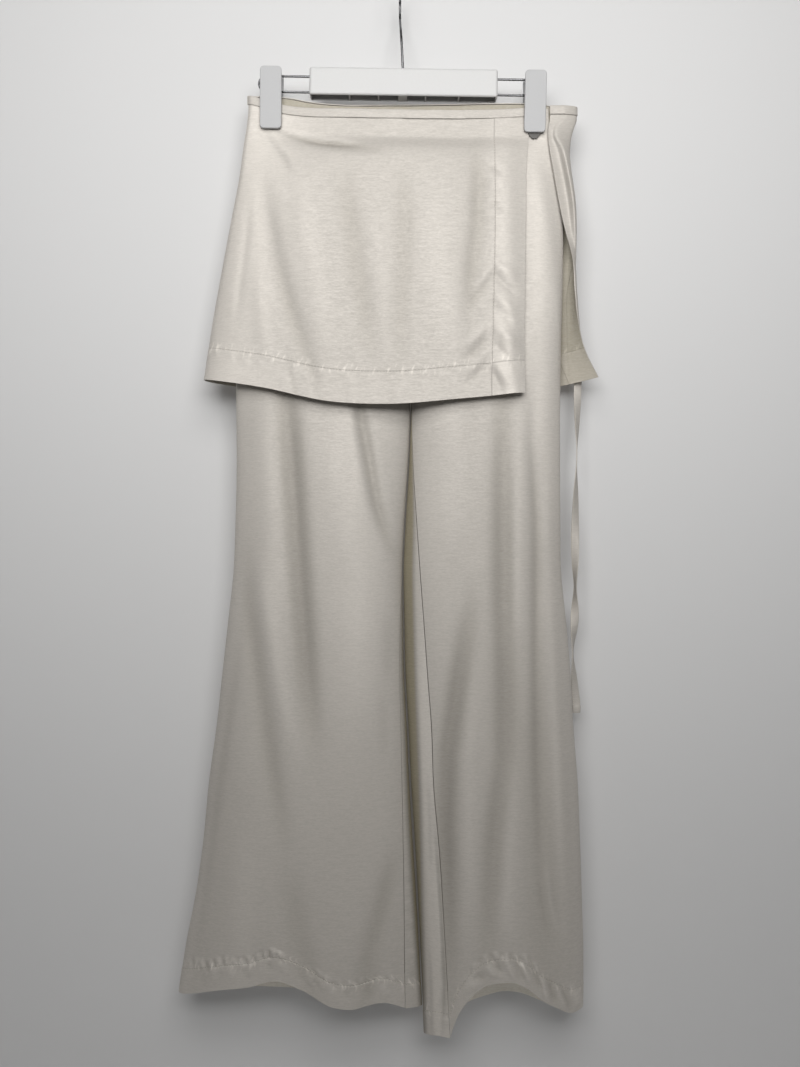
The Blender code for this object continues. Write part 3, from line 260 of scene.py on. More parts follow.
HEM_OVERSKIRT_BACK = table(
    EdgeRow,
    (-218.7, 442.6), (-140, 452), (-60, 460), (20, 461),
    (100, 455), (160, 448), (184, 446), (221.5, 439.4),
)

HEMS = {
    "trouser_front_left": HEM_LEFT_FRONT,
    "trouser_front_right": HEM_RIGHT_FRONT,
    "trouser_back_left": HEM_LEFT_BACK,
    "trouser_back_right": HEM_RIGHT_BACK,
    "overskirt_front": HEM_OVERSKIRT_FRONT,
    "overskirt_back": HEM_OVERSKIRT_BACK,
}

# Folds and creases. A positive depth is a trough, a negative one a ridge; the path is
# the fold's line down the panel, as (x, drop). A fold fades out at both ends of its line.
# Each fold's full depth also paints shade into the cloth's colour in a trough and light on
# a ridge.
Fold = namedtuple("Fold", "depth width path")
WAIST_DRAG = table(
    Fold,
    (7, 3.6, ((-185, 150), (-148, 156), (-128, 164), (-100, 172), (-60, 178), (-30, 178))),
    (3, 8, ((-140, 158), (-112, 168), (-80, 176), (-40, 182), (0, 184))),
    (-3, 5, ((-136, 158), (-108, 162), (-76, 166), (-40, 168))),
    (5.5, 4.5, ((-176, 130), (-156, 154), (-146, 170), (-130, 196), (-118, 222))),
    (-3.5, 4, ((-180, 112), (-166, 136), (-154, 160), (-148, 182))),
)
PANEL_FOLDS = {
    "trouser_front_left": [
        (9.5, 12, ((-132, 360), (-124, 480), (-116, 580), (-109, 680), (-100, 790), (-90, 900))),
        (-2.4, 14, ((-152, 420), (-148, 540), (-140, 660), (-126, 780))),
        (-4, 26, ((-80, 380), (-62, 540), (-44, 660), (-44, 780), (-52, 900))),
        (4.6, 11, ((-174, 590), (-168, 690), (-152, 800), (-137, 894), (-120, 1000))),
        (-2.5, 9, ((-158, 620), (-146, 700), (-128, 800), (-108, 890))),
        (7, 7, ((-52, 420), (-43, 487), (-36, 525), (-26, 581), (-14, 618), (6, 668))),
        (-1.6, 8, ((-62, 440), (-54, 500), (-44, 570), (-30, 620))),
        (2.4, 6, ((-172, 690), (-188, 800), (-206, 930), (-220, 1040), (-232, 1120))),
        (5, 12, ((0, 940), (-18, 1030), (-34, 1085), (-46, 1180))),
        (-1.6, 9, ((6, 960), (-10, 1030), (-38, 1100), (-48, 1150))),
        (2.8, 15, ((-122, 960), (-112, 1060), (-96, 1130), (-90, 1180))),
        (-2, 16, ((-166, 900), (-172, 1020), (-176, 1130), (-176, 1180))),
        (1.6, 7, ((-14, 700), (-11, 740), (-13, 790))),
        (1.3, 6, ((-20, 780), (-16, 830), (-18, 880))),
        (2, 14, ((-196, 640), (-206, 800), (-222, 1000))),
    ],
    "trouser_front_right": [
        (-7, 22, ((154, 20), (156, 200), (162, 330), (164, 420), (166, 640))),
        (8, 12, ((116, 340), (114, 487), (114, 593), (115, 775), (115, 862), (104, 950),
                         (98, 1060), (92, 1200))),
        (9.5, 10.5, ((88, 640), (74, 715), (62, 790), (52, 860), (50, 940), (53, 1040), (60, 1130))),
        (3, 22, ((140, 700), (150, 860), (158, 1000), (160, 1200))),
        (4.6, 6.5, ((150, 380), (146, 500), (151, 600), (150, 760), (152, 900), (156, 1060))),
        (-2.6, 10, ((132, 420), (130, 540), (128, 680), (124, 800))),
        (-3.4, 7, ((166, 400), (166, 600), (170, 760), (178, 950), (186, 1140))),
        (-3, 13, ((120, 800), (117, 930), (116, 1040), (118, 1120))),
        (-2, 9, ((88, 740), (76, 860), (74, 980), (78, 1090))),
        (-1.6, 16, ((52, 420), (58, 540), (54, 660))),
        (-1.8, 3.4, ((158, 960), (166, 1020), (178, 1070))),
        (1.4, 3, ((150, 980), (158, 1030), (168, 1070))),
    ],
    "trouser_back_left": [
        (-9, 14, ((-220, 1130), (-180, 1134), (-140, 1134), (-100, 1130))),
        (9, 12, ((-94, 400), (-98, 520), (-108, 660), (-112, 850), (-104, 1030))),
        (5, 13, ((-164, 680), (-168, 780), (-172, 920), (-180, 1080), (-184, 1180))),
        (6, 10, ((-26, 420), (-30, 520), (-42, 660), (-54, 820), (-56, 1000), (-48, 1180))),
        (-4, 18, ((-132, 700), (-138, 840), (-144, 980), (-150, 1180))),
        (-2.4, 9, ((-136, 420), (-142, 540), (-140, 700))),
        (2, 7, ((-66, 480), (-74, 620), (-84, 780))),
        (1.6, 5, ((-204, 860), (-212, 980), (-224, 1100))),
        (-2, 8, ((-86, 860), (-80, 1000), (-84, 1160))),
    ],
    "trouser_back_right": [
        (9, 12, ((114, 400), (118, 520), (122, 680), (130, 880), (136, 1080))),
        (6, 11, ((66, 420), (72, 540), (80, 680), (86, 880), (92, 1180))),
        (5, 10, ((160, 720), (166, 840), (170, 960), (174, 1180))),
        (-4, 16, ((94, 660), (104, 800), (110, 960), (116, 1180))),
        (2, 6, ((146, 460), (152, 620), (150, 780))),
        # a ridge that paints light on the strip of the back panel that shows beside the inseam
        (-9, 8, ((26, 620), (27, 780), (31, 900), (36, 1020), (40, 1120), (42, 1260))),
        (9, 1.8, ((36, 900), (40, 960), (49, 1080), (47, 1130), (46, 1160))),
        (6, 2.4, ((30, 860), (33, 930), (35, 1010))),
        (-6, 2.2, ((38, 980), (42, 1040), (41, 1110))),
        (5, 2.2, ((33, 1040), (35, 1090), (37, 1150))),
        # a wide ridge that paints light inside the back hem, where it shows below the front hem
        (-16, 30, ((30, 1130), (66, 1140), (104, 1140), (150, 1140), (196, 1130))),
    ],
    "overskirt_front": [
        (4.6, 11, ((-158, 190), (-150, 240), (-138, 310), (-120, 366), (-100, 412), (-88, 450))),
        (-2, 13, ((-118, 190), (-104, 280), (-90, 350), (-74, 430))),
        (3.8, 12, ((-66, 180), (-58, 240), (-48, 318), (-36, 372), (-26, 430))),
        (3.2, 10.5, ((3, 180), (5, 250), (4, 318), (1, 381), (8, 440))),
        (-1, 9, ((-30, 210), (-24, 300), (-18, 400))),
        (-2.2, 15, ((36, 190), (42, 290), (54, 370), (64, 440))),
        (4.4, 9.5, ((84, 150), (88, 230), (86, 270), (79, 330), (74, 400))),
        (-5, 14, ((112, 60), (114, 200), (118, 330), (122, 480), (122, 560))),
        (1.4, 5, ((-166, 226), (-172, 300), (-184, 400))),
        (-1.4, 8, ((-160, 300), (-152, 370), (-140, 440))),
        (1.4, 4, ((-20, 396), (-10, 430), (-6, 460))),
        (1.4, 4, ((-128, 392), (-120, 424), (-112, 462))),
        (1.2, 3.6, ((-100, 396), (-94, 424), (-90, 456))),
        (-1.2, 4, ((-62, 400), (-52, 430), (-48, 466))),
        (2.4, 4, ((98, 204), (108, 212), (116, 216))),
        (2.4, 4, ((98, 246), (108, 254), (118, 258))),
        (-2.4, 4.3, ((97, 308), (112, 322), (132, 332))),
        (3.4, 4.5, ((96, 320), (110, 334), (132, 352))),
        (-1.9, 3.8, ((99, 340), (113, 354), (130, 370))),
        (2.6, 4, ((97, 350), (110, 364), (126, 380))),
        (-3, 4.5, ((98, 372), (114, 386), (134, 398))),
        (3.2, 4.3, ((97, 386), (112, 402), (134, 424))),
        (-2.4, 3.8, ((98, 402), (108, 418), (122, 440))),
        (2.4, 3.8, ((97, 412), (106, 430), (114, 448))),
        (-8, 13, ((108, 340), (118, 400), (126, 440), (132, 540))),
        (-1.9, 3.8, ((103, 316), (90, 332), (76, 342))),
        (2.2, 3.6, ((103, 328), (90, 344), (74, 356))),
        (-2.2, 3.8, ((101, 368), (86, 384), (66, 396))),
        (2.4, 3.8, ((101, 382), (84, 398), (64, 408))),
        (-1.8, 3.6, ((100, 396), (84, 410), (68, 420))),
        (1.9, 3.6, ((99, 408), (84, 422), (66, 432))),
    ],
    "overskirt_back": [
        (-9, 22, ((182, 40), (182, 150), (184, 210), (190, 270), (196, 400))),
        (9, 20, ((192, 290), (196, 370), (206, 420), (216, 520))),
        (5, 12, ((-112, 190), (-120, 260), (-132, 340), (-144, 460))),
        (4, 11, ((-46, 180), (-52, 250), (-56, 330), (-46, 470))),
        (4.5, 12, ((22, 185), (26, 250), (30, 330), (42, 470))),
        (3.5, 11, ((92, 180), (98, 250), (104, 330), (114, 460))),
        (-3, 16, ((-12, 200), (-10, 280), (-8, 360), (-2, 470))),
        (-2.4, 10, ((-84, 210), (-90, 300), (-96, 450))),
        (-2.4, 10, ((58, 210), (64, 300), (74, 450))),
        (1.4, 5, ((-160, 210), (-172, 310), (-186, 430))),
    ],
}

# Rows of small creases along the stitches: where a row starts and ends as (x, drop), how
# far it bends up between, and the line, depth and width of one crease.
# Their depth also paints light and shade along each crease, as a fold's does.
Puckers = namedtuple("Puckers", "start end bend count run depth width")
PANEL_PUCKERS = {
    "trouser_front_left": [
        ((-234, 1099), (-130, 1097), 0, 25, (4, 17), 4.2, 2.4),
        ((-234, 1112), (-20, 1116), 0, 17, (6, 20), 2, 3.6),
        ((-100, 1102), (2, 1102), 0, 19, (4, 9), 2.4, 2.2),
    ],
    "trouser_front_right": [
        ((78, 1114), (196, 1114), 0, 13, (13, 28), 5.6, 3.4),
        ((70, 1098), (150, 1098), 0, 15, (5, 14), 3, 2.4),
    ],
    "trouser_back_left": [
        ((-236, 1112), (-20, 1112), 6, 29, (5, 16), 1.6, 3),
        ((8, 990), (14, 1102), 0, 15, (13, 5), 3.6, 2),
    ],
    "trouser_back_right": [
        ((70, 1112), (200, 1112), 6, 19, (7, 20), 1.8, 3),
        ((38, 820), (46, 1110), 0, 21, (11, 12), 2, 2.2),
    ],
    "overskirt_front": [
        ((-206, 412), (60, 424), -8, 31, (3, 12), 0.8, 3),
    ],
    "overskirt_back": [
        ((-200, 414), (160, 416), -6, 39, (3, 12), 0.9, 3),
    ],
}

# Where the stitches of the apron's placket run.
PlacketRow = namedtuple("PlacketRow", "drop x")
PLACKET = table(
    PlacketRow,
    (140, 105.5), (172, 105.3), (304, 104.1), (383, 101.9),
    (420, 100.8), (476, 100),
)
FACING_WIDTH = 34         # of the turned edge at the overskirt back's free end
BINDING_ROLL = [            # outside of the folded strip, from its top to its lower edge
    (0.45, 0.04), (0.78, 0.25), (0.96, 0.7), (1, 1.3), (1, 8.9), (0.92, 9.5),
    (0.7, 9.9), (0.4, 10), (0.1, 9.75), (0, 9.2),
]

# ---------------- tie, in metres
TIE_WIDTH = 0.009
TIE_WALL = 0.001
TIE_SECTION = [             # as shares of half the width and half the wall
    (-1, 0), (-0.96, 0.8), (-0.85, 1), (0.85, 0.8), (0.96, 0.6),
    (1, 0), (0.96, -0.6), (0.85, -0.8), (-0.85, -1), (-0.96, -0.8),
]
TIE_END_WIDTH = 0.0094
TIE_END_WALL = 0.0024
TIE_END_RUN = (0.0003, 0.0096)      # from the strap's last row down
TIE_END_SECTION = [
    (-1, 0), (-0.94, 0.7), (-0.8, 1), (0.8, 1), (0.94, 0.7),
    (1, 0), (0.94, -0.7), (0.8, -1), (-0.8, -1), (-0.94, -0.7),
]
TIE_END_ROUNDING = (0.9, 0.97, 1.0, 1.0, 1.0, 1.0, 0.97, 0.88)
TIE_STITCH_INSET = 0.0011
TIE_STITCH_ROWS = 300
TieRow = namedtuple("TieRow", "drop x y turn")
TIE = table(
    TieRow,
    (0.138, 0.1870, 0.0061, 0), (0.150, 0.1860, 0.0066, 0), (0.174, 0.1854, 0.0086, 10),
    (0.210, 0.1866, 0.0105, 25), (0.247, 0.1910, 0.0118, 45), (0.277, 0.1954, 0.0126, 58),
    (0.308, 0.1982, 0.0134, 64), (0.342, 0.1999, 0.0146, 60), (0.364, 0.2010, 0.0154, 50),
    (0.387, 0.2022, 0.0158, 35), (0.415, 0.2027, 0.0156, 18), (0.445, 0.2020, 0.0150, 5),
    (0.485, 0.2012, 0.0140, 40), (0.525, 0.2005, 0.0126, 80), (0.568, 0.1992, 0.0112, 45),
    (0.609, 0.1982, 0.0102, 5), (0.643, 0.1982, 0.0098, -35), (0.675, 0.1982, 0.0096, -80),
    (0.709, 0.1976, 0.0094, -10), (0.750, 0.1954, 0.0092, 72), (0.780, 0.1970, 0.0088, 30),
    (0.807, 0.1993, 0.0084, 0),
)

# ---------------- stitches, in metres
HEM_STITCH = {"Pitch": 0.0034, "Stitch": 0.0022, "Thread": 0.00032, "Slant": 0.0}
TIE_STITCH = {"Pitch": 0.0024, "Stitch": 0.0022, "Thread": 0.0004, "Slant": math.radians(55)}

# ---------------- hanger
HANGER_TILT = math.radians(0.85)
WIRE_RADIUS = 1.4
ROD_RADIUS = 1.3
HOOK_RADIUS = 21.0          # of the wire's middle
HOOK_START_ANGLE = -25.0    # where the loop leaves the stem's bend, degrees
HOOK_END_ANGLE = 210.0
STEM_X = 3.4
HookRow = namedtuple("HookRow", "drop x y")
HOOK_STEM = table(
    HookRow,
    (107, 3.4, 0), (95, 3.2, 0), (82, 2.7, 0), (69, 2.1, 0), (57, 1.4, 1.2), (47, 0.9, 5.4),
    (37.5, 0.4, 12.4),
)
BAR_TOP_DROP = 95.8
ROD_DROPS = (103.4, 121.0)
ROD_IN_BAR = 9.0
RODS = (                    # with the end of the bar and the far end of the rod
    ("rod_left", -100.7, -157.7),
    ("rod_right", 109.1, 161.0),
)
JAWS = ["clip_left_front", "clip_left_back", "clip_right_front", "clip_right_back"]

# ---------------- the sheets' cut, in metres
Sheet = namedtuple("Sheet", "title flat area")
SHEETS = {
    "trouser_front_left": Sheet("left_leg_front", (0.27, 1.02), 0.208),
    "trouser_front_right": Sheet("right_leg_front", (0.21, 1.04), 0.169),
    "trouser_back_left": Sheet("left_leg_back", (0.30, 1.02), 0.228),
    "trouser_back_right": Sheet("right_leg_back", (0.24, 1.04), 0.214),
    "overskirt_front": Sheet("apron", (0.37, 0.34), 0.111),
    "overskirt_back": Sheet("skirt_back", (0.46, 0.34), 0.137),
}

# ---------------- colours and finishes
Cloth = namedtuple("Cloth", "shade light turned groove_shade rough_low rough_high lustre sheen bump")
# The satin's turned value is painted light: its turned hems are drawn a little lighter than the cloth
# round them.
SATIN = Cloth(
    (0.565, 0.535, 0.494), (0.62, 0.586, 0.542), (1.03, 1.03, 1.03), 0.84, 0.58, 0.70, 0.30, 0.06, 0.75,
)
CREPE = Cloth(
    (0.44, 0.405, 0.33), (0.50, 0.465, 0.39), (1.12, 1.12, 1.15), 0.90, 0.70, 0.82, 0.0, 0.05, 0.6,
)
LEG_INSIDE = CREPE._replace(turned=(1.85, 1.9, 2.05))     # the hems turn satin inwards; painted light makes the inside of the hems far lighter than the satin
GLINT = 1.28                # painted highlight on the puckers by the stitches, against the cloth round them
GROOVE_REACH = 0.9          # to each side of a line of stitches
PUCKER_REACH = 11.0
SEWN_RELIEF = 1.6           # of grooves and puckers, against the threads' own
THREAD_RELIEF = 0.00022
TONE_RIDGE = 8.0            # height of the ridge at the start of the painted fold shades
TONE_TROUGH = 20.0          # and depth of the trough at their end; 0.286 is smooth cloth
PAINTED_FOLD_SHADES = [
    (0.10, (0.96, 0.96, 0.96)), (0.286, (0.80, 0.80, 0.80)), (0.43, (0.71, 0.705, 0.69)),
    (0.62, (0.57, 0.565, 0.555)), (0.70, (0.54, 0.53, 0.50)), (0.82, (0.50, 0.467, 0.345)),
    (1.0, (0.36, 0.33, 0.23)),
]
THREAD_IVORY = (0.70, 0.66, 0.58)
PLATING = (0.15, 0.15, 0.155)
BAR_WHITE = (0.54, 0.54, 0.537)
CLIP_GREY = (0.40, 0.402, 0.408)
PAD_RUBBER = (0.10, 0.095, 0.088)

# ---------------- view and light, in metres
CAMERA_PLACE = (0.0, -1.07, -0.614)
CAMERA_LENS = 32.2
FLOOR = -1.3
WALL = 0.042
ROOM_LIGHT = 0.066
LAMP_COLOUR = (1.0, 0.992, 0.98)
Lamp = namedtuple("Lamp", "name place target size power spread")
LAMPS = table(
    Lamp,
    ("ceiling", (0.03, -1.12, 0.46), (0.0, 0.0, -0.38), (1.3, 0.45), 8.6, 180),
    ("front", (0.0, -1.3, -0.06), (0.0, 0.0, -0.14), (1.3, 0.5), 7.5, 120),
    ("floor_bounce", (0.0, -1.15, -1.26), (0.0, 0.0, -1.12), (1.2, 0.2), 0.36, 150),
    ("back_fill", (0.3, 1.4, 0.3), (0.0, 0.0, -0.6), (1.2, 1.2), 11.0, 180),
)


# ---------------- tables and curves
def smoothstep(start, end, value):
    share = np.clip((np.asarray(value, float) - start) / (end - start), 0.0, 1.0)
    return share * share * (3.0 - 2.0 * share)


def table_value(rows, place, column, at):
    """A table's column at given places, on a smooth curve through its rows."""
    places = np.array([getattr(row, place) for row in rows], float)
    values = np.array([getattr(row, column) for row in rows], float)
    slopes = np.gradient(values, places)
    at = np.clip(np.asarray(at, float), places[0], places[-1])
    index = np.clip(np.searchsorted(places, at) - 1, 0, len(places) - 2)
    step = places[index + 1] - places[index]
    share = (at - places[index]) / step
    square = share * share
    cube = square * share
    start = (2 * cube - 3 * square + 1) * values[index]
    start = start + (cube - 2 * square + share) * step * slopes[index]
    end = (3 * square - 2 * cube) * values[index + 1]
    end = end + (cube - square) * step * slopes[index + 1]
    return start + end


def at_drop(rows, column, drop):
    return table_value(rows, "drop", column, drop)


def row_at(rows, drop):
    """A table's whole row at given drops."""
    row = type(rows[0])
    return row(*(at_drop(rows, column, drop) for column in row._fields))


def edge_drop(rows, x):
    return table_value(rows, "x", "drop", x)


def smooth_path(points, steps):
    """Points on a smooth curve through the given ones, a number of steps apart."""
    points = np.asarray(points, float)
    before = 2 * points[:1] - points[1:2]
    after = 2 * points[-1:] - points[-2:-1]
    padded = np.concatenate([before, points, after])
    path = []
    for index, count in enumerate(steps):
        a, b, c, d = padded[index:index + 4]
        for share in np.arange(count) / count:
            turn = (c - a) * share
            bend = (2 * a - 5 * b + 4 * c - d) * share ** 2
            twist = (3 * b - a - 3 * c + d) * share ** 3
            path.append(b + 0.5 * (turn + bend + twist))
    path.append(points[-1])
    return np.array(path)


def travelled(path):
    """Length of a path up to each of its points."""
    return np.concatenate([[0.0], np.cumsum(np.linalg.norm(np.diff(path, axis=0), axis=1))])


# ---------------- folds
def fold_line(x, drop, path):
    """Distance of each point of a panel to a fold's line, and its place along it, 0 to 1."""
    best = np.full(np.broadcast(x, drop).shape, np.inf)
    place = np.zeros(best.shape)
    lengths = [math.dist(start, end) for start, end in zip(path, path[1:])]
    done = 0.0
    for (x0, drop0), (x1, drop1), length in zip(path, path[1:], lengths):
        run_x = x1 - x0
        run_drop = drop1 - drop0
        along = ((x - x0) * run_x + (drop - drop0) * run_drop) / length ** 2
        along = np.clip(along, 0.0, 1.0)
        gap = np.hypot(x - x0 - along * run_x, drop - drop0 - along * run_drop)
        place = np.where(gap < best, (done + along * length) / sum(lengths), place)
        best = np.minimum(best, gap)
        done += length
    return best, place


def fold_depth(folds, x, drop):
    """Depth of folds that fade out where their lines begin and end."""
    depth = np.zeros(np.broadcast(x, drop).shape)
    for fold in folds:
        distance, place = fold_line(x, drop, fold.path)
        fading = smoothstep(0.0, FOLD_FADE, place) * smoothstep(0.0, FOLD_FADE, 1.0 - place)
        depth = depth + fold.depth * fading * np.exp(-(distance / fold.width) ** 2)
    return depth


def pucker_folds(row, seed):
    """Small uneven creases side by side along a line of stitches."""
    random = np.random.default_rng(seed)
    folds = []
    for index in range(row.count):
        share = (index + random.uniform(-0.4, 0.4)) / max(row.count - 1, 1)
        x = row.start[0] + (row.end[0] - row.start[0]) * share
        drop = row.start[1] + (row.end[1] - row.start[1]) * share - row.bend * 4 * share * (1 - share)
        drop += random.uniform(-2.5, 2.5)
        size = random.uniform(0.3, 1.0) * (0.7 if index % 2 else -1.0)
        run_x, run_drop = np.array(row.run) / 2 * random.uniform(0.6, 1.2, 2)
        path = ((x - run_x, drop - run_drop), (x + run_x, drop + run_drop))
        folds.append(Fold(row.depth * size, row.width, path))
    return folds


FOLDS = {}
for seed, panel in enumerate(PANEL_FOLDS):
    FOLDS[panel] = table(Fold, *PANEL_FOLDS[panel])
    for row in table(Puckers, *PANEL_PUCKERS[panel]):
        FOLDS[panel] += pucker_folds(row, seed)


# ---------------- forms of the cloth
def uneven(x, drop, seed):
    """Smooth unevenness of cloth, from -1 to 1 and the same on every run."""
    knots = np.random.default_rng(seed).uniform(-1.0, 1.0, (UNEVEN_KNOTS, UNEVEN_KNOTS))
    last = UNEVEN_KNOTS - 1.1
    across = np.clip((x - UNEVEN_LEFT) / UNEVEN_WIDTH, 0.0, last)
    down = np.clip(drop / UNEVEN_HEIGHT, 0.0, last)
    column = across.astype(int)
    row = down.astype(int)
    right = smoothstep(0.0, 1.0, across - column)
    below = smoothstep(0.0, 1.0, down - row)
    upper = knots[column, row] * (1.0 - right) + knots[column + 1, row] * right
    lower = knots[column, row + 1] * (1.0 - right) + knots[column + 1, row + 1] * right
    return upper * (1.0 - below) + lower * below


def cloth_relief(name, x, drop):
    """Depth of a panel's folds, its finer creases and its own unevenness."""
    depth = FOLD_HEIGHT * fold_depth(FOLDS[name], x, drop)
    return depth + UNEVENNESS * uneven(x, drop, PANEL_SEED + list(FOLDS).index(name))


def off_the_edge(offset):
    """Share of a fold that is left where the cloth comes close to the middle plane."""
    return smoothstep(0.0, PRESSED_DEPTH, offset)


def roundness(across):
    """Height of a section's curve at a place across it, from 1 in the middle to 0."""
    return np.clip(1.0 - np.abs(across) ** SECTION_POWER, 0.0, 1.0)


def waist_bow(x, drop):
    reach = np.clip(1.0 - (x / WAIST_BOW_REACH) ** 2, 0.0, 1.0)
    return WAIST_BOW * reach ** 2 * (1.0 - smoothstep(CLIP_END_DROP, HIP_OPEN_DROP, drop))


def section_root(drop):
    """Sharpness of a section's ends: nearly a lens at the waist, an oval in the legs."""
    opening = smoothstep(CLIP_END_DROP, CROTCH_DROP, drop)
    return 1.0 / (LENS_ROOT + (OVAL_ROOT - LENS_ROOT) * opening)


def hip_offset(x, drop):
    """Distance of a trouser layer from the middle plane, above the crotch."""
    left = at_drop(LEFT_LEG, "outer", drop)
    right = at_drop(RIGHT_LEG, "outer", drop)
    depth = np.maximum(at_drop(LEFT_LEG, "depth", drop), 0.0)
    edge = np.clip(np.minimum(x - left, right - x), 0.0, None)
    pressed = TROUSER_LAYER * np.tanh(edge / TIP_ROUNDING)
    across = (2 * x - left - right) / (right - left)
    return pressed + waist_bow(x, drop) + depth * roundness(across) ** section_root(drop)


def waist_drag(x, drop):
    """Depth of the folds that run from a clip, through the apron and the trousers."""
    return DRAG_HEIGHT * fold_depth(WAIST_DRAG, x, drop) * off_the_edge(hip_offset(x, drop))


def leg_rows(name):
    return LEFT_LEG if name.endswith("left") else RIGHT_LEG


def trouser_point(name, angle, drop):
    """A point of a leg's ring: angle 0 is the side seam, pi the inner edge by the front."""
    leg = row_at(leg_rows(name), drop)
    x = leg.outer + (leg.inner - leg.outer) * (1.0 - np.cos(angle)) / 2
    round_leg = roundness(np.cos(angle)) ** 0.5
    closing = smoothstep(CROTCH_BLEND, CROTCH_DROP, drop)
    panel_side = 1.0 if "front" in name else -1.0
    ring_side = np.where(np.sin(angle) >= 0, 1.0, -1.0)
    on_ring = (np.cos(angle) > 0) | (np.asarray(drop) >= CROTCH_DROP)
    side = np.where(on_ring, ring_side, panel_side)
    relief = cloth_relief(name, x, drop) * (1.0 - closing + closing * round_leg)
    relief = np.where(side == panel_side, relief, 0.0)
    offset = (1.0 - closing) * hip_offset(x, drop) + closing * leg.depth * round_leg
    offset = offset - relief * off_the_edge(offset)
    if "front" in name:
        offset = offset - waist_drag(x, drop)
    return x, -side * offset


def skirt_offset(x, drop):
    """Distance of the overskirt from the middle plane, round the left side."""
    skirt = row_at(OVERSKIRT, drop)
    pressed = OVERSKIRT_LAYER * np.tanh(np.clip(x - skirt.left, 0.0, None) / TIP_ROUNDING)
    across = (2 * x - skirt.left - skirt.hip) / (skirt.hip - skirt.left)
    return pressed + waist_bow(x, drop), np.maximum(skirt.depth, 0.0), across


def apron_point(angle, drop):
    skirt = row_at(OVERSKIRT, drop)
    x = skirt.left + (skirt.free - skirt.left) * (1.0 - np.cos(angle)) / 2
    flat, depth, across = skirt_offset(x, drop)
    offset = flat + depth * roundness(across) ** section_root(drop)
    relief = cloth_relief("overskirt_front", x, drop)
    offset = offset - relief * off_the_edge(offset) - waist_drag(x, drop)
    flare_start = SKIRT_HEM_REFERENCE - SKIRT_HEM
    offset = offset + HEM_FLARE * smoothstep(flare_start, HEM_FLARE_END, drop) ** 1.5
    side = np.where(np.sin(angle) >= 0, 1.0, -1.0)
    return x, -side * offset


def skirt_back_plan(drop, share):
    """Section of the overskirt back from the left seam, share 0, to its join, share 1."""
    left = at_drop(OVERSKIRT, "left", drop)
    join_x = at_drop(FLAP, "join_x", drop)
    join_y = at_drop(FLAP, "join_y", drop)
    x = left + (join_x - left) * (1.0 - np.cos(share * math.pi / 2))
    flat, depth, across = skirt_offset(x, drop)
    offset = flat + depth * roundness(np.minimum(across, 0.0)) ** section_root(drop)
    relief = cloth_relief("overskirt_back", x, np.full_like(x, float(drop)))
    offset = offset - relief * off_the_edge(offset)
    opening = smoothstep(CLIP_END_DROP, HIP_OPEN_DROP, drop)
    start = FREE_BACK_X + (join_x - FREE_BACK_RUN - FREE_BACK_X) * opening
    turning = np.clip((x - start) / (join_x - start), 0.0, 1.0) ** 2.5
    return np.stack([x, offset + (join_y - offset) * turning], axis=1)


def skirt_back_row(drop, columns):
    """The same section and its free end, which curls forward."""
    back = skirt_back_plan(drop, np.linspace(0.0, 1.0, columns))
    before = skirt_back_plan(drop, np.array([FLAP_START, 1.0]))[0]
    corners = np.reshape(row_at(FLAP, drop)[1:], (-1, 2))
    flap = smooth_path([before, *corners], (1,) + FLAP_STEPS)
    return np.concatenate([back, flap[2:]])


def in_space(x, y, drop, top, hem, hem_fade, hem_reference):
    """Points of a grid in space, once the curves of its waist and its hem are added."""
    top = top + BINDING_WALL + CAP_CLEARANCE
    waist = (top - WAIST_REFERENCE) * (1.0 - smoothstep(WAIST_REFERENCE, WAIST_FADE, drop))
    hem = (hem - hem_reference) * smoothstep(hem_fade, hem_reference, drop)
    return np.stack([x, y, -(drop + waist + hem)], axis=-1)


def trouser_grid(name, angle, drop):
    x, y = trouser_point(name, angle, drop)
    front = "front" in name
    seam_end = -1 if name.endswith("left") else 0
    hem = edge_drop(HEMS[name], x)
    if not front:
        inner_hem = HEMS[name][seam_end].drop
        seam_hem = HEMS[name.replace("back", "front")][seam_end].drop
        strip = np.clip((np.abs(angle) - math.pi) / STRIP_ANGLE, 0.0, 1.0)
        hem = np.where(np.abs(angle) > math.pi, inner_hem + (seam_hem - inner_hem) * strip, hem)
    top = edge_drop(WAIST_FRONT if front else WAIST_BACK, x)
    return in_space(x, y, drop, top, hem, HEM_FADE, HEM_REFERENCE), hem


def seam_angle(name, drop):
    """Angle of the inseam on a leg's ring; pi where it lies on the inner edge."""
    leg = row_at(leg_rows(name), drop)
    cosine = 1.0 - 2.0 * (leg.inseam - leg.outer) / (leg.inner - leg.outer)
    return np.arccos(np.clip(cosine, -1.0, 1.0))


def keep_to_side(layer, front, left):
    """Hold a panel's hips on its own side of the side seams and the centre seam."""
    hips = layer[..., 2] > -CROTCH_DROP - SEAM_PLANE_RUN
    gap = np.where(hips, SEAM_GAP / 2, -np.inf)
    for axis, seam, below in ((1, 0.0, front), (0, CENTRE_SEAM_X, left)):
        side = -1.0 if below else 1.0
        layer[..., axis] = seam + side * np.maximum(side * (layer[..., axis] - seam), gap)


# ---------------- shells of cloth
Shell = namedtuple("Shell", "name outside inside normal hem_line edge_line fold")


def leg_levels():
    hips = np.arange(WAIST_REFERENCE, 240.0, 3.0)
    legs = np.arange(240.0, 1066.0, 5.0)
    return np.concatenate([hips, legs, np.linspace(1066.0, HEM_REFERENCE, 42)])


def skirt_levels():
    return np.linspace(WAIST_REFERENCE, SKIRT_HEM_REFERENCE, SKIRT_ROWS)


def with_edges(levels, before, after):
    """The rows of a grid and one more at each end, which give the edges their slope."""
    return np.concatenate([[levels[0] - before], levels, [levels[-1] + after]])


def even_shares(columns):
    """Shares from 0 to 1, with one more beyond each end."""
    step = 1.0 / (columns - 1)
    return np.linspace(-step, 1.0 + step, columns + 2)[None, :]


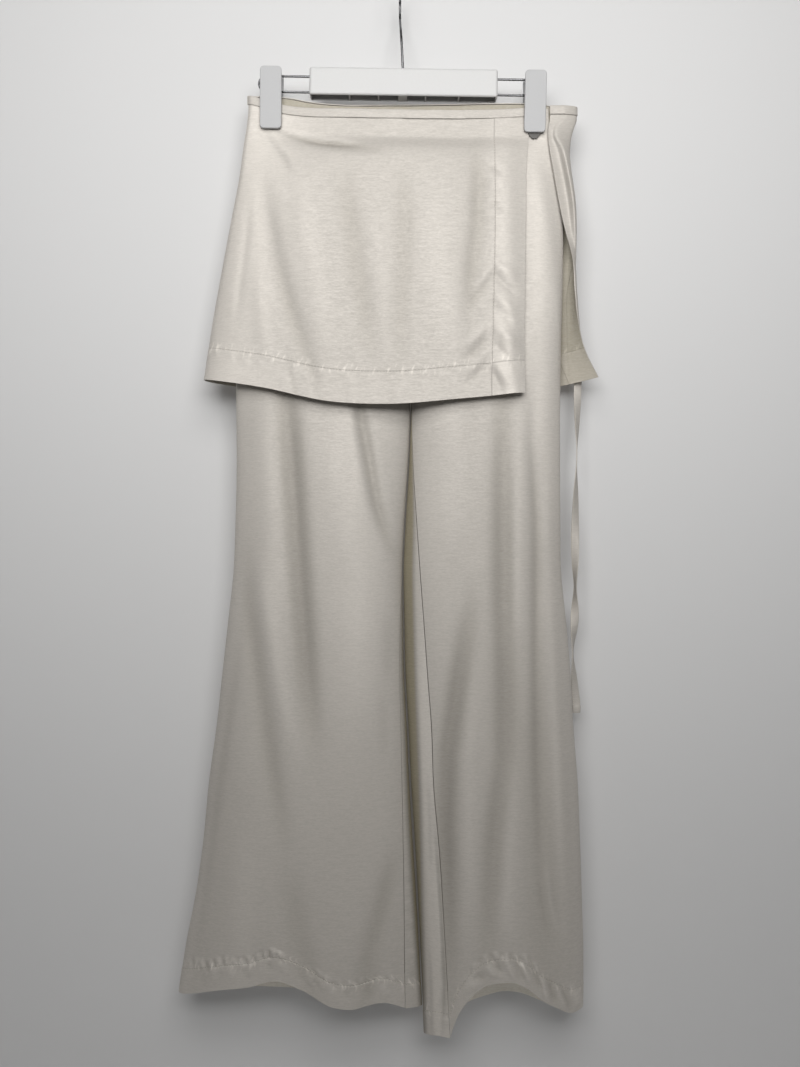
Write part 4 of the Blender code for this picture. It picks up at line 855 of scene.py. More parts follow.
def unit(vectors):
    length = np.linalg.norm(vectors, axis=-1, keepdims=True)
    return vectors / np.maximum(length, 1e-9)


def grid_normals(grid):
    """Directions square to a grid, from the rows and columns on either side."""
    across = grid[1:-1, 2:] - grid[1:-1, :-2]
    down = grid[2:, 1:-1] - grid[:-2, 1:-1]
    return unit(np.cross(down, across))


def turned_edge(distance):
    """Extra height of cloth that lies double between a line of stitches and its edge."""
    return HEM_STEP * (1.0 - smoothstep(*HEM_STEP_RUN, distance))


def wall_layers(centre, normal, outer_step, inner_step):
    outside = centre + normal * (SHELL / 2 + outer_step)[..., None]
    inside = centre - normal * (SHELL / 2 + inner_step)[..., None]
    return outside, inside


def between_legs(name, x, drop):
    """Deep shade where a leg's inner side turns back towards the other leg."""
    reach = x - at_drop(leg_rows(name), "shade", drop)
    if name.endswith("right"):
        reach = -reach
    below = smoothstep(CROTCH_DROP, CROTCH_DROP + DEEP_SHADE_RUN, drop)
    return DEEP_SHADE * below * smoothstep(-SHADE_SOFTNESS, SHADE_SOFTNESS, reach)


def edge_light(x, edge, height, reach):
    """Light on cloth that rounds its side edge, as a ridge of that height."""
    return height * np.exp(-((x - edge) / reach) ** 2)


def trouser_shell(name):
    front = "front" in name
    left = name.endswith("left")
    turn = 1.0 if front else -1.0
    levels = with_edges(leg_levels(), 3.0, 2.0)
    seam = seam_angle(name, levels)[:, None]
    last = seam if front else 2 * math.pi - seam
    depth = np.maximum(at_drop(LEFT_LEG, "depth", levels)[:, None], LEAST_LEG_DEPTH)
    set_back = SEAM_GAP / 2 / depth
    angle = turn * (set_back + (last - 2 * set_back) * even_shares(LEG_COLUMNS))
    drop = np.repeat(levels[:, None], LEG_COLUMNS + 2, axis=1)
    angle = np.where(drop < CROTCH_DROP, np.clip(angle, -math.pi, math.pi), angle)
    grid, hem = trouser_grid(name, angle, drop)
    normal = grid_normals(grid) * turn * (1.0 if left else -1.0)
    centre = grid[1:-1, 1:-1]
    drop = drop[1:-1, 1:-1]
    hem_line = hem[1:-1, 1:-1] + centre[..., 2] - LEG_HEM
    layers = wall_layers(centre, normal, turned_edge(hem_line), np.zeros(1))
    for layer in layers:
        keep_to_side(layer, front, left)
    x = centre[..., 0]
    # fold: painted shade in the folds and between the legs, painted light on the side edge
    fold = fold_depth(FOLDS[name], x, drop)
    fold = fold - edge_light(x, at_drop(leg_rows(name), "outer", drop), EDGE_LIGHT, EDGE_REACH)
    fold = fold + (fold_depth(WAIST_DRAG, x, drop) if front else between_legs(name, x, drop))
    return Shell(name, *layers, normal, hem_line, np.full(hem_line.shape, NO_LINE), fold)


def apron_shell():
    levels = with_edges(skirt_levels(), 3.0, 2.0)
    depth = np.maximum(at_drop(OVERSKIRT, "depth", levels)[:, None], LEAST_SKIRT_DEPTH)
    start = SEAM_GAP / 2 / depth
    angle = np.minimum(start + (math.pi - start) * even_shares(SKIRT_COLUMNS), math.pi)
    drop = np.repeat(levels[:, None], SKIRT_COLUMNS + 2, axis=1)
    x, y = apron_point(angle, drop)
    hem = edge_drop(HEMS["overskirt_front"], x)
    top = edge_drop(WAIST_FRONT, x)
    grid = in_space(x, y, drop, top, hem, SKIRT_HEM_FADE, SKIRT_HEM_REFERENCE)
    normal = grid_normals(grid)
    centre = grid[1:-1, 1:-1]
    x = centre[..., 0]
    drop = drop[1:-1, 1:-1]
    hem_line = hem[1:-1, 1:-1] + centre[..., 2] - SKIRT_HEM
    edge_line = at_drop(PLACKET, "x", -centre[..., 2]) - x
    proud = np.maximum(turned_edge(hem_line), turned_edge(edge_line))
    layers = wall_layers(centre, normal, proud, np.zeros(1))
    for layer in layers:
        layer[..., 1] = np.minimum(layer[..., 1], -SEAM_GAP / 2)
    # fold: painted shade in the folds and drag folds, painted light along the left edge
    fold = fold_depth(FOLDS["overskirt_front"] + WAIST_DRAG, x, drop)
    fold = fold - edge_light(x, at_drop(OVERSKIRT, "left", drop), APRON_EDGE_LIGHT, APRON_EDGE_REACH)
    return Shell("overskirt_front", *layers, normal, hem_line, edge_line, fold)


def skirt_back_shell():
    levels = with_edges(skirt_levels(), 1.0, 1.0)
    plans = np.array([skirt_back_row(drop, SKIRT_COLUMNS) for drop in levels])
    x = plans[..., 0]
    on_flap = np.arange(x.shape[1])[None, :] >= SKIRT_COLUMNS
    drop = np.repeat(levels[:, None], x.shape[1], axis=1)
    top = np.where(on_flap, WAIST_BACK[-1].drop, edge_drop(WAIST_BACK, x))
    hem = edge_drop(HEMS["overskirt_back"], x)
    grid = in_space(x, plans[..., 1], drop, top, hem, SKIRT_HEM_FADE, SKIRT_HEM_REFERENCE)
    mirrored = grid[:, 1:2] * np.array([1.0, -1.0, 1.0])
    beyond = 2 * grid[:, -1:] - grid[:, -2:-1]
    normal = -grid_normals(np.concatenate([mirrored, grid, beyond], axis=1))
    centre = grid[1:-1]
    hem_line = hem[1:-1] + centre[..., 2] - SKIRT_HEM
    steps = np.linalg.norm(np.diff(centre[..., :2], axis=1), axis=-1)
    to_lead = np.concatenate([np.cumsum(steps[:, ::-1], axis=1)[:, ::-1], steps[:, :1] * 0], axis=1)
    edge_line = to_lead - FACING_WIDTH
    layers = wall_layers(centre, normal, turned_edge(hem_line), turned_edge(edge_line))
    for layer in layers:
        layer[:, :6, 1] = np.maximum(layer[:, :6, 1], SEAM_GAP / 2)
    # fold: painted shade and light of the folds, none on the free end
    fold = np.where(on_flap, 0.0, fold_depth(FOLDS["overskirt_back"], x, drop))[1:-1]
    return Shell("overskirt_back", *layers, normal, hem_line, edge_line, fold)


# ---------------- meshes
def link(piece):
    bpy.context.scene.collection.objects.link(piece)
    return piece


def clean_mesh(mesh, weld=False):
    """Faces that all point outwards, without double points where they are to be welded."""
    work = bmesh.new()
    work.from_mesh(mesh)
    if weld:
        bmesh.ops.remove_doubles(work, verts=work.verts, dist=1e-6)
    bmesh.ops.recalc_face_normals(work, faces=work.faces)
    work.to_mesh(mesh)
    work.free()


def smooth_mesh(mesh):
    mesh.shade_smooth()
    mesh.set_sharp_from_angle(angle=SHARP_ANGLE)


def cloth_mesh(title, points, faces, flat, fields, finishes, sides=None):
    """A cloth piece: places in metres, its cut laid flat, and what its finish reads."""
    mesh = bpy.data.meshes.new(title)
    mesh.from_pydata(points.tolist(), [], faces)
    clean_mesh(mesh)
    corners = np.zeros(len(mesh.loops), int)
    mesh.loops.foreach_get("vertex_index", corners)
    mesh.uv_layers.new(name="cloth")
    mesh.uv_layers["cloth"].uv.foreach_set("vector", flat[corners].ravel())
    for name, values in fields.items():
        values = np.full(len(points), values)
        mesh.attributes.new(name, "FLOAT", "POINT").data.foreach_set("value", values)
    for finish in finishes:
        mesh.materials.append(finish)
    if sides is not None:
        mesh.polygons.foreach_set("material_index", sides)
    smooth_mesh(mesh)
    mesh.update()
    return link(bpy.data.objects.new(title, mesh))


def wall_faces(rows, columns):
    """Quads of the outside, the inside and the four edges of a wall between two grids."""
    place = np.arange(rows * columns).reshape(rows, columns)
    corners = (place[:-1, :-1], place[:-1, 1:], place[1:, 1:], place[1:, :-1])
    a, b, c, d = (corner.ravel() for corner in corners)
    layer = rows * columns
    outside = np.stack([a, b, c, d], axis=1)
    inside = np.stack([a, d, c, b], axis=1) + layer
    rims = []
    for edge in (place[0], place[-1], place[:, 0], place[:, -1]):
        rims.append(np.stack([edge[:-1], edge[1:], edge[1:] + layer, edge[:-1] + layer], axis=1))
    return outside, inside, np.concatenate(rims)


def sewn_piece(shell, finishes, title):
    """The mesh of a shell, with its satin outside and its crepe inside."""
    rows, columns = shell.outside.shape[:2]
    points = np.concatenate([shell.outside.reshape(-1, 3), shell.inside.reshape(-1, 3)])
    outside, inside, rims = wall_faces(rows, columns)
    faces = np.concatenate([outside, inside, rims])
    across = np.linalg.norm(np.diff(shell.outside, axis=1), axis=-1)
    across = np.concatenate([np.zeros((rows, 1)), np.cumsum(across, axis=1)], axis=1)
    flat = np.stack([across.ravel(), -shell.outside[..., 2].ravel()], axis=1) * MILLIMETRE
    fields = {name: np.tile(getattr(shell, name).ravel(), 2) for name in FIELDS}
    sides = np.zeros(len(faces), int)
    sides[len(outside):len(outside) + len(inside)] = 1
    points = points * MILLIMETRE
    return cloth_mesh(title, points, faces.tolist(), np.tile(flat, (2, 1)), fields, finishes, sides)


def strip_mesh(title, sections, flat, finish):
    """A strip with closed sections, given point by point, and both its ends shut."""
    rows, corners = sections.shape[:2]
    faces = [tuple(range(corners)), tuple(range((rows - 1) * corners, rows * corners))]
    for start in range(0, (rows - 1) * corners, corners):
        for corner in range(corners):
            a = start + corner
            b = start + (corner + 1) % corners
            faces.append((a, b, b + corners, a + corners))
    return cloth_mesh(title, sections.reshape(-1, 3), faces, flat, PLAIN_FIELDS, [finish])


# ---------------- waist binding
def binding_piece(title, path, tops, reach, back, finish):
    """A folded strip round the waist edge, along a plan path."""
    ahead = np.gradient(path, axis=0)
    outward = unit(np.stack([ahead[:, 1], -ahead[:, 0]], axis=1))
    if back:
        outward = -outward
        outward[0] = (-1.0, 0.0)
    face = SHELL / 2 + SEAM_GAP
    roll = [(face + across, below) for across, below in BINDING_ROLL]
    sections = []
    for place, out, top, inward in zip(path, outward, tops, reach):
        corners = [(-inward, 0.05), (0.0, 0.0), *roll, (face, BINDING_WALL), (-inward, BINDING_WALL)]
        sections.append([(*(place + out * offset), -(top + below)) for offset, below in corners])
    sections = np.array(sections)
    y = sections[..., 1]
    if back:
        hips = sections[..., 0] < FREE_BACK_X
        sections[..., 1] = np.where(hips, np.maximum(y, SEAM_GAP / 2), y)
    else:
        sections[..., 1] = np.minimum(y, -SEAM_GAP / 2)
    run = np.repeat(travelled(path), sections.shape[1])
    flat = np.stack([run, -sections[..., 2].ravel()], axis=1) * MILLIMETRE
    return strip_mesh(title, sections * MILLIMETRE, flat, finish)


def make_bindings(finish):
    columns = BINDING_COLUMNS
    angles = np.linspace(BINDING_FRONT_START, math.pi, columns)
    left = at_drop(OVERSKIRT, "left", WAIST_REFERENCE)
    x = left + (BINDING_FRONT_END - left) * (1.0 - np.cos(angles)) / 2
    ripple = BINDING_RIPPLE * uneven(x * 4.0, np.full(columns, 300.0), BINDING_SEED)
    front = np.stack([x, -skirt_offset(x, WAIST_REFERENCE)[0] - ripple], axis=1)
    wave = BINDING_WAVE * uneven(x * 3.0, np.full(columns, 500.0), BINDING_SEED + 1)
    tops = edge_drop(WAIST_FRONT, x) + wave
    reach = np.full(columns, OVERSKIRT_LAYER)
    pieces = [binding_piece("waist_binding_front", front, tops, reach, False, finish)]
    path = skirt_back_row(WAIST_REFERENCE, columns)
    on_flap = np.arange(len(path)) >= columns
    tops = np.where(on_flap, WAIST_BACK[-1].drop, edge_drop(WAIST_BACK, path[:, 0]))
    beyond = (path[:, 0] > FREE_BACK_X) | on_flap
    reach = np.where(beyond, SHELL / 2 + SEAM_GAP, OVERSKIRT_LAYER)
    pieces.append(binding_piece("waist_binding_back", path, tops, reach, True, finish))
    return pieces


# ---------------- node trees
def feed(tree, made, inputs):
    """Gives a node's inputs their values, or the sockets that feed them."""
    for name, value in inputs.items():
        if isinstance(value, bpy.types.NodeSocket):
            tree.links.new(value, made.inputs[name])
        else:
            made.inputs[name].default_value = value


def node(tree, kind, inputs=None, **settings):
    """Adds a node and gives back its outputs."""
    made = tree.nodes.new(kind)
    for name, value in settings.items():
        setattr(made, name, value)
    feed(tree, made, inputs or {})
    return made.outputs


def add_socket(tree, name, way, kind, value=None):
    made = tree.interface.new_socket(name, in_out=way, socket_type="NodeSocket" + kind)
    if value is not None:
        made.default_value = value


def group_results(tree, kind, results):
    """The outputs of a node group, with the socket that feeds each."""
    for name in results:
        add_socket(tree, name, "OUTPUT", kind)
    node(tree, "NodeGroupOutput", results)
    return tree


def calculate(tree, operation, *values):
    return node(tree, "ShaderNodeMath", dict(enumerate(values)), operation=operation)[0]


def ranged(tree, value, start, end, low=0.0, high=1.0, **settings):
    """A value's place between a start and an end, as a value from low to high."""
    limits = {"Value": value, "From Min": start, "From Max": end, "To Min": low, "To Max": high}
    return node(tree, "ShaderNodeMapRange", limits, **settings)["Result"]


def mixed(tree, share, first, second, blend="MIX"):
    """A colour mixed from two; the first is left whole where the share is 0."""
    inputs = {0: share, 6: first, 7: second}
    return node(tree, "ShaderNodeMix", inputs, data_type="RGBA", blend_type=blend)[2]


def noise(tree, place, scale, **inputs):
    texture = node(tree, "ShaderNodeTexNoise", {"Vector": place, "Scale": scale, **inputs})
    return texture["Fac"]


def cloth_place(tree, **mapping):
    """Place on the cloth laid flat, in metres, scaled and turned."""
    uv = node(tree, "ShaderNodeUVMap", uv_map="cloth")["UV"]
    return node(tree, "ShaderNodeMapping", {"Vector": uv, **mapping})["Vector"]


def opaque(colour, factor=1.0):
    return (*(factor * value for value in colour), 1.0)


# ---------------- stitches
def stitch_tree(finish):
    """Thread laid stitch by stitch along a rail, on the face of the cloth."""
    tree = bpy.data.node_groups.new("stitches", "GeometryNodeTree")
    add_socket(tree, "Rail", "INPUT", "Geometry")
    for name, value in HEM_STITCH.items():
        add_socket(tree, name, "INPUT", "Float", value)
    given = node(tree, "NodeGroupInput")
    curve = node(tree, "GeometryNodeMeshToCurve", {"Mesh": given["Rail"]})["Curve"]
    spacing = {"Curve": curve, "Length": given["Pitch"]}
    spaced = node(tree, "GeometryNodeResampleCurve", spacing, mode="LENGTH")["Curve"]
    ball = {"Segments": 6, "Rings": 4, "Radius": 0.5}
    thread = node(tree, "GeometryNodeMeshUVSphere", ball)["Mesh"]
    tangent = node(tree, "GeometryNodeInputTangent")["Tangent"]
    named = {"Name": "facing"}
    facing = node(tree, "GeometryNodeInputNamedAttribute", named, data_type="FLOAT_VECTOR")
    align = "FunctionNodeAlignRotationToVector"
    along = node(tree, align, {"Vector": tangent}, axis="X")["Rotation"]
    out = {"Rotation": along, "Vector": facing["Attribute"]}
    upright = node(tree, align, out, axis="Z", pivot_axis="X")["Rotation"]
    turn = {"Axis": (0.0, 0.0, 1.0), "Angle": given["Slant"]}
    slant = node(tree, "FunctionNodeAxisAngleToRotation", turn)["Rotation"]
    both = {"Rotation": upright, "Rotate By": slant}
    turned = node(tree, "FunctionNodeRotateRotation", both, rotation_space="LOCAL")["Rotation"]
    shares = {2: 0.85, 3: 1.1, "Seed": 5}
    share = node(tree, "FunctionNodeRandomValue", shares, data_type="FLOAT")[1]
    length = calculate(tree, "MULTIPLY", given["Stitch"], share)
    sides = {"X": length, "Y": given["Thread"], "Z": given["Thread"]}
    size = node(tree, "ShaderNodeCombineXYZ", sides)["Vector"]
    laid = {"Points": spaced, "Instance": thread, "Rotation": turned, "Scale": size}
    row = node(tree, "GeometryNodeInstanceOnPoints", laid)["Instances"]
    whole = node(tree, "GeometryNodeRealizeInstances", {"Geometry": row})["Geometry"]
    dyed = {"Geometry": whole, "Material": finish}
    stitches = node(tree, "GeometryNodeSetMaterial", dyed)["Geometry"]
    return group_results(tree, "Geometry", {"Stitches": stitches})


def crossings(field, places, normals):
    """Points and normals where a field falls through zero, once along each of its rows."""
    points = []
    facing = []
    for values, row, directions in zip(field, places, normals):
        falling = np.nonzero((values[:-1] > 0) & (values[1:] <= 0))[0]
        if len(falling):
            index = falling[0]
            share = values[index] / (values[index] - values[index + 1])
            points.append(row[index] * (1 - share) + row[index + 1] * share)
            facing.append(directions[index])
    return np.array(points), np.array(facing)


def hem_rail(shell, end=np.inf):
    """The stitches of a shell's hem, as far to the right as they go."""
    columns = (grid.swapaxes(0, 1) for grid in (shell.hem_line, shell.outside, shell.normal))
    points, facing = crossings(*columns)
    kept = points[:, 0] < end
    return points[kept], facing[kept]


def placket_rail(shell):
    points, facing = crossings(shell.edge_line, shell.outside, shell.normal)
    drop = -points[:, 2]
    kept = (drop > PLACKET_STITCHES[0]) & (drop < PLACKET_STITCHES[1])
    return points[kept], facing[kept]


def mesh_of(guide, title):
    """The mesh that a guide's curve or modifier makes; the guide goes."""
    evaluated = guide.evaluated_get(bpy.context.evaluated_depsgraph_get())
    mesh = bpy.data.meshes.new_from_object(evaluated)
    mesh.name = title
    bpy.data.objects.remove(guide, do_unlink=True)
    return mesh


def stitched(title, rails, tree, sizes):
    """Stitches along rails, as one plain mesh."""
    points = []
    facing = []
    edges = []
    for rail_points, rail_normals in rails:
        start = len(points)
        points.extend((rail_points * MILLIMETRE).tolist())
        facing.extend(rail_normals.tolist())
        edges.extend([(start + i, start + i + 1) for i in range(len(rail_points) - 1)])
    rail = bpy.data.meshes.new(title + "_rail")
    rail.from_pydata(points, edges, [])
    attribute = rail.attributes.new("facing", "FLOAT_VECTOR", "POINT")
    attribute.data.foreach_set("vector", np.array(facing).ravel())
    guide = link(bpy.data.objects.new(title + "_rail", rail))
    modifier = guide.modifiers.new("stitches", "NODES")
    modifier.node_group = tree
    for item in tree.interface.items_tree:
        if item.name in sizes:
            modifier[item.identifier] = sizes[item.name]
    mesh = mesh_of(guide, title)
    mesh.shade_smooth()
    return link(bpy.data.objects.new(title, mesh))


# ---------------- tie
def tie_frame(steps):
    """Places, width directions and facings of the tie, down its length, in metres."""
    drop = np.linspace(TIE[0].drop, TIE[-1].drop, steps)
    row = row_at(TIE, drop)
    place = np.stack([row.x, row.y, -drop], axis=-1)
    turn = np.radians(row.turn)
    across = np.stack([np.cos(turn), np.sin(turn), np.zeros(steps)], axis=-1)
    facing = np.stack([np.sin(turn), -np.cos(turn), np.zeros(steps)], axis=-1)
    return place, across, facing


def strap(title, frame_rows, width, wall, shares, finish):
    """A strap whose section is given as shares of half its width and half its wall."""
    place, across, facing = frame_rows
    section = np.array(shares) * (width / 2, wall / 2)
    sections = place[:, None] + across[:, None] * section[:, :1] + facing[:, None] * section[:, 1:]
    width_place = np.tile(section[:, 0], len(place))
    flat = np.stack([width_place, np.repeat(travelled(place), len(section))], axis=1)
    return strip_mesh(title, sections, flat, finish)


def make_tie(finish):
    rows = tie_frame(TIE_ROWS)
    tie = strap("hanging_tie", rows, TIE_WIDTH, TIE_WALL, TIE_SECTION, finish)
    last = TIE[-1]
    rounding = np.array(TIE_END_ROUNDING)[:, None]
    drops = last.drop + np.linspace(*TIE_END_RUN, len(rounding))
    places = np.array([(last.x, last.y, -drop) for drop in drops])
    end_rows = (places, (1.0, 0.0, 0.0) * rounding, (0.0, -1.0, 0.0) * rounding ** 3)
    end = strap("turned_tie_end", end_rows, TIE_END_WIDTH, TIE_END_WALL, TIE_END_SECTION, finish)
    return tie, end, rows[0], float(travelled(rows[0])[-1])


def tie_rails():
    """Two rows of thread along one edge of the tie, one on each of its faces."""
    place, across, facing = tie_frame(TIE_STITCH_ROWS)
    rails = []
    for side in (1.0, -1.0):
        edge = place - across * (TIE_WIDTH / 2 - TIE_STITCH_INSET) + facing * side * (TIE_WALL / 2)
        rails.append((edge / MILLIMETRE, facing * side))
    return rails


# ---------------- wires
def wire(title, points, radius, finish):
    """A round wire along points in metres, closed at its ends."""
    curve = bpy.data.curves.new(title, "CURVE")
    curve.dimensions = "3D"
    curve.bevel_depth = radius
    curve.bevel_resolution = 5
    curve.use_fill_caps = True
    spline = curve.splines.new("POLY")
    spline.points.add(len(points) - 1)
    for slot, point in zip(spline.points, points):
        slot.co = (*(float(value) for value in point), 1.0)
    mesh = mesh_of(link(bpy.data.objects.new(title + "_guide", curve)), title)
    clean_mesh(mesh, weld=True)
    mesh.materials.clear()
    mesh.materials.append(finish)
    smooth_mesh(mesh)
    return link(bpy.data.objects.new(title, mesh))


def hook_points():
    centre = WIRE_RADIUS - HOOK_RADIUS
    stem = [(row.x, row.y, -row.drop) for row in HOOK_STEM]
    turns = np.radians(np.linspace(HOOK_START_ANGLE, HOOK_END_ANGLE, 60))
    loop = [(0.0, HOOK_RADIUS * math.cos(t), centre + HOOK_RADIUS * math.sin(t)) for t in turns]
    path = smooth_path(stem + loop[:1], [8] * len(stem))
    return np.concatenate([path, np.array(loop[1:])]) * MILLIMETRE


def rod_points(bar_end, rod_end):
    """The U of wire at one end of the bar, tilted as the hanger is."""
    away = math.copysign(1.0, rod_end)
    radius = (ROD_DROPS[1] - ROD_DROPS[0]) / 2
    middle = -(ROD_DROPS[0] + ROD_DROPS[1]) / 2
    turns = np.radians(np.linspace(90, -90, 33))
    inside = bar_end - away * ROD_IN_BAR
    x = rod_end - away * radius + away * radius * np.cos(turns)
    x = np.concatenate([[inside], x, [inside]]) - STEM_X
    z = middle + radius * np.sin(turns)
    z = np.concatenate([[-ROD_DROPS[0]], z, [-ROD_DROPS[1]]]) + BAR_TOP_DROP
    cosine = math.cos(HANGER_TILT)
    sine = math.sin(HANGER_TILT)
    tilted_x = x * cosine + z * sine + STEM_X
    tilted_z = z * cosine - x * sine - BAR_TOP_DROP
    return np.stack([tilted_x, np.zeros_like(x), tilted_z], axis=1) * MILLIMETRE


# ---------------- finishes
def slub_group():
    """Uneven weft threads of crepe-back satin: their height and their lighter places."""
    tree = bpy.data.node_groups.new("slub", "ShaderNodeTree")
    fine = noise(
        tree, cloth_place(tree, Scale=(230.0, 1050.0, 1.0)), 1.0, Detail=2.0, Roughness=0.6,
        Distortion=0.4,
    )
    broad = noise(tree, cloth_place(tree, Scale=(70.0, 480.0, 1.0)), 1.0, Detail=1.0, Distortion=0.6)
    height = calculate(tree, "MULTIPLY_ADD", fine, 0.65, calculate(tree, "MULTIPLY", broad, 0.35))
    light = ranged(tree, height, 0.38, 0.62)
    return group_results(tree, "Float", {"Height": height, "Light Threads": light})


def sewn_line_group():
    """The groove along a line of stitches and the small puckers beside it, with the painted highlight
    on the puckers by the hem.
    """
    tree = bpy.data.node_groups.new("sewn_line", "ShaderNodeTree")
    grooves = []
    nears = []
    for name in ("edge_line", "hem_line"):
        line = node(tree, "ShaderNodeAttribute", attribute_name=name)["Fac"]
        distance = calculate(tree, "ABSOLUTE", line)
        for reach, into in ((GROOVE_REACH, grooves), (PUCKER_REACH, nears)):
            into.append(ranged(tree, distance, reach, 0.0, interpolation_type="SMOOTHSTEP"))
    slanted = {"Rotation": (0.0, 0.0, math.radians(35)), "Scale": (230.0, 90.0, 1.0)}
    gather = noise(tree, cloth_place(tree, **slanted), 1.0, Detail=1.0)
    bright = ranged(tree, gather, 0.54, 0.72)
    near = calculate(tree, "MAXIMUM", *nears)
    # The last line read is the hem's; the placket's turned side shows no change of colour.
    return group_results(tree, "Float", {
        "Groove": calculate(tree, "MAXIMUM", *grooves),
        "Pucker": calculate(tree, "MULTIPLY", gather, near),
        "Glint": calculate(tree, "MULTIPLY", bright, nears[1]),
        "Turned": ranged(tree, line, 0.5, -0.5),
    })


def fold_shade_group():
    """Shade painted into the colour where it gathers in the troughs of folds, and light painted on
    their ridges.
    """
    tree = bpy.data.node_groups.new("fold_shade", "ShaderNodeTree")
    fold = node(tree, "ShaderNodeAttribute", attribute_name="fold")["Fac"]
    share = ranged(tree, fold, -TONE_RIDGE, TONE_TROUGH)
    tones = tree.nodes.new("ShaderNodeValToRGB")
    feed(tree, tones, {"Fac": share})
    ramp = tones.color_ramp
    ramp.interpolation = "B_SPLINE"
    ramp.elements[0].color = (1.0, 1.0, 1.0, 1.0)
    ramp.elements[1].color = opaque(PAINTED_FOLD_SHADES[-1][1])
    for position, colour in PAINTED_FOLD_SHADES[:-1]:
        ramp.elements.new(position).color = opaque(colour)
    return group_results(tree, "Color", {"Shade": tones.outputs["Color"]})


def plain_finish(name, colour, roughness, metallic=0.0):
    finish = bpy.data.materials.new(name)
    finish.use_nodes = True
    shader = finish.node_tree.nodes["Principled BSDF"]
    values = {"Base Color": opaque(colour), "Roughness": roughness, "Metallic": metallic}
    feed(finish.node_tree, shader, values)
    return finish, shader


def raised(tree, height, strength, distance):
    relief = {"Strength": strength, "Distance": distance, "Height": height}
    return node(tree, "ShaderNodeBump", relief)["Normal"]


def cloth_finish(name, cloth, slub, sewn, fold_shade):
    finish, shader = plain_finish(name, cloth.light, cloth.rough_low, cloth.lustre)
    tree = finish.node_tree
    weft = node(tree, "ShaderNodeGroup", node_tree=slub)
    lines = node(tree, "ShaderNodeGroup", node_tree=sewn)
    folds = node(tree, "ShaderNodeGroup", node_tree=fold_shade)
    threads = weft["Light Threads"]
    colour = mixed(tree, threads, opaque(cloth.shade), opaque(cloth.light))
    # on a turned edge: the satin face that turns to the inside, and painted light on the satin's hems
    # and inside the legs' hems
    colour = mixed(tree, lines["Turned"], colour, opaque(cloth.turned), "MULTIPLY")
    # painted highlight on the puckers by the hems
    colour = mixed(tree, lines["Glint"], colour, opaque(cloth.light, GLINT))
    groove = opaque([cloth.groove_shade] * 3)
    colour = mixed(tree, lines["Groove"], colour, groove, "MULTIPLY")
    # painted shade in the troughs of folds and between the legs, painted light on ridges and side edges
    colour = mixed(tree, 1.0, colour, folds["Shade"], "MULTIPLY")
    height = calculate(tree, "MULTIPLY_ADD", lines["Groove"], -SEWN_RELIEF, weft["Height"])
    height = calculate(tree, "MULTIPLY_ADD", lines["Pucker"], SEWN_RELIEF, height)
    feed(tree, shader, {
        "Base Color": colour,
        "Roughness": ranged(tree, threads, 0.0, 1.0, cloth.rough_high, cloth.rough_low),
        "Specular IOR Level": 0.38,
        "Sheen Weight": cloth.sheen,
        "Sheen Roughness": 0.4,
        "Normal": raised(tree, height, cloth.bump, THREAD_RELIEF),
    })
    return finish


def moulded_finish(name, colour, roughness, grain, height):
    """Plastic or rubber with a faint moulded grain and rubbed places."""
    finish, shader = plain_finish(name, colour, roughness)
    tree = finish.node_tree
    place = node(tree, "ShaderNodeTexCoord")["Object"]
    spots = noise(tree, place, grain, Detail=3.0)
    feed(tree, shader, {
        "Base Color": mixed(tree, spots, opaque(colour, 0.94), opaque(colour)),
        "Roughness": ranged(tree, spots, 0.3, 0.7, roughness - 0.06, roughness + 0.08),
        "Normal": raised(tree, spots, 0.3, height),
    })
    return finish


def wire_finish():
    """Plated wire with fine drawing marks along it."""
    finish, shader = plain_finish("plated_wire", PLATING, 0.2, 1.0)
    tree = finish.node_tree
    marks = noise(tree, node(tree, "ShaderNodeTexCoord")["Object"], 900.0)
    feed(tree, shader, {"Roughness": ranged(tree, marks, 0.0, 1.0, 0.16, 0.36)})
    return finish


# ---------------- stage
def wall_finish():
    """Pale wall that shows only from the front, so the part's back can be looked at."""
    finish, shader = plain_finish("pale_wall", (0.62, 0.62, 0.622), 0.9)
    shader.inputs["Specular IOR Level"].default_value = 0.1
    tree = finish.node_tree
    behind = node(tree, "ShaderNodeNewGeometry")["Backfacing"]
    shadow = node(tree, "ShaderNodeLightPath")["Is Shadow Ray"]
    hidden = calculate(tree, "MAXIMUM", behind, shadow)
    clear = node(tree, "ShaderNodeBsdfTransparent")[0]
    surface = node(tree, "ShaderNodeMixShader", {0: hidden, 1: shader.outputs[0], 2: clear})[0]
    feed(tree, tree.nodes["Material Output"], {"Surface": surface})
    return finish


def plane(title, corners, finish):
    mesh = bpy.data.meshes.new(title)
    mesh.from_pydata(corners, [], [(0, 1, 2, 3)])
    mesh.materials.append(finish)
    link(bpy.data.objects.new(title, mesh))


def area_light(lamp):
    data = bpy.data.lights.new(lamp.name, "AREA")
    data.shape = "RECTANGLE"
    data.size, data.size_y = lamp.size
    data.energy = lamp.power
    data.color = LAMP_COLOUR
    data.spread = math.radians(lamp.spread)
    light = link(bpy.data.objects.new(lamp.name, data))
    light.location = lamp.place
    x, y, z = np.array(lamp.target) - np.array(lamp.place)
    away = math.atan2(math.hypot(x, y), -z)
    light.rotation_euler = (away, 0.0, math.atan2(y, x) - math.pi / 2)


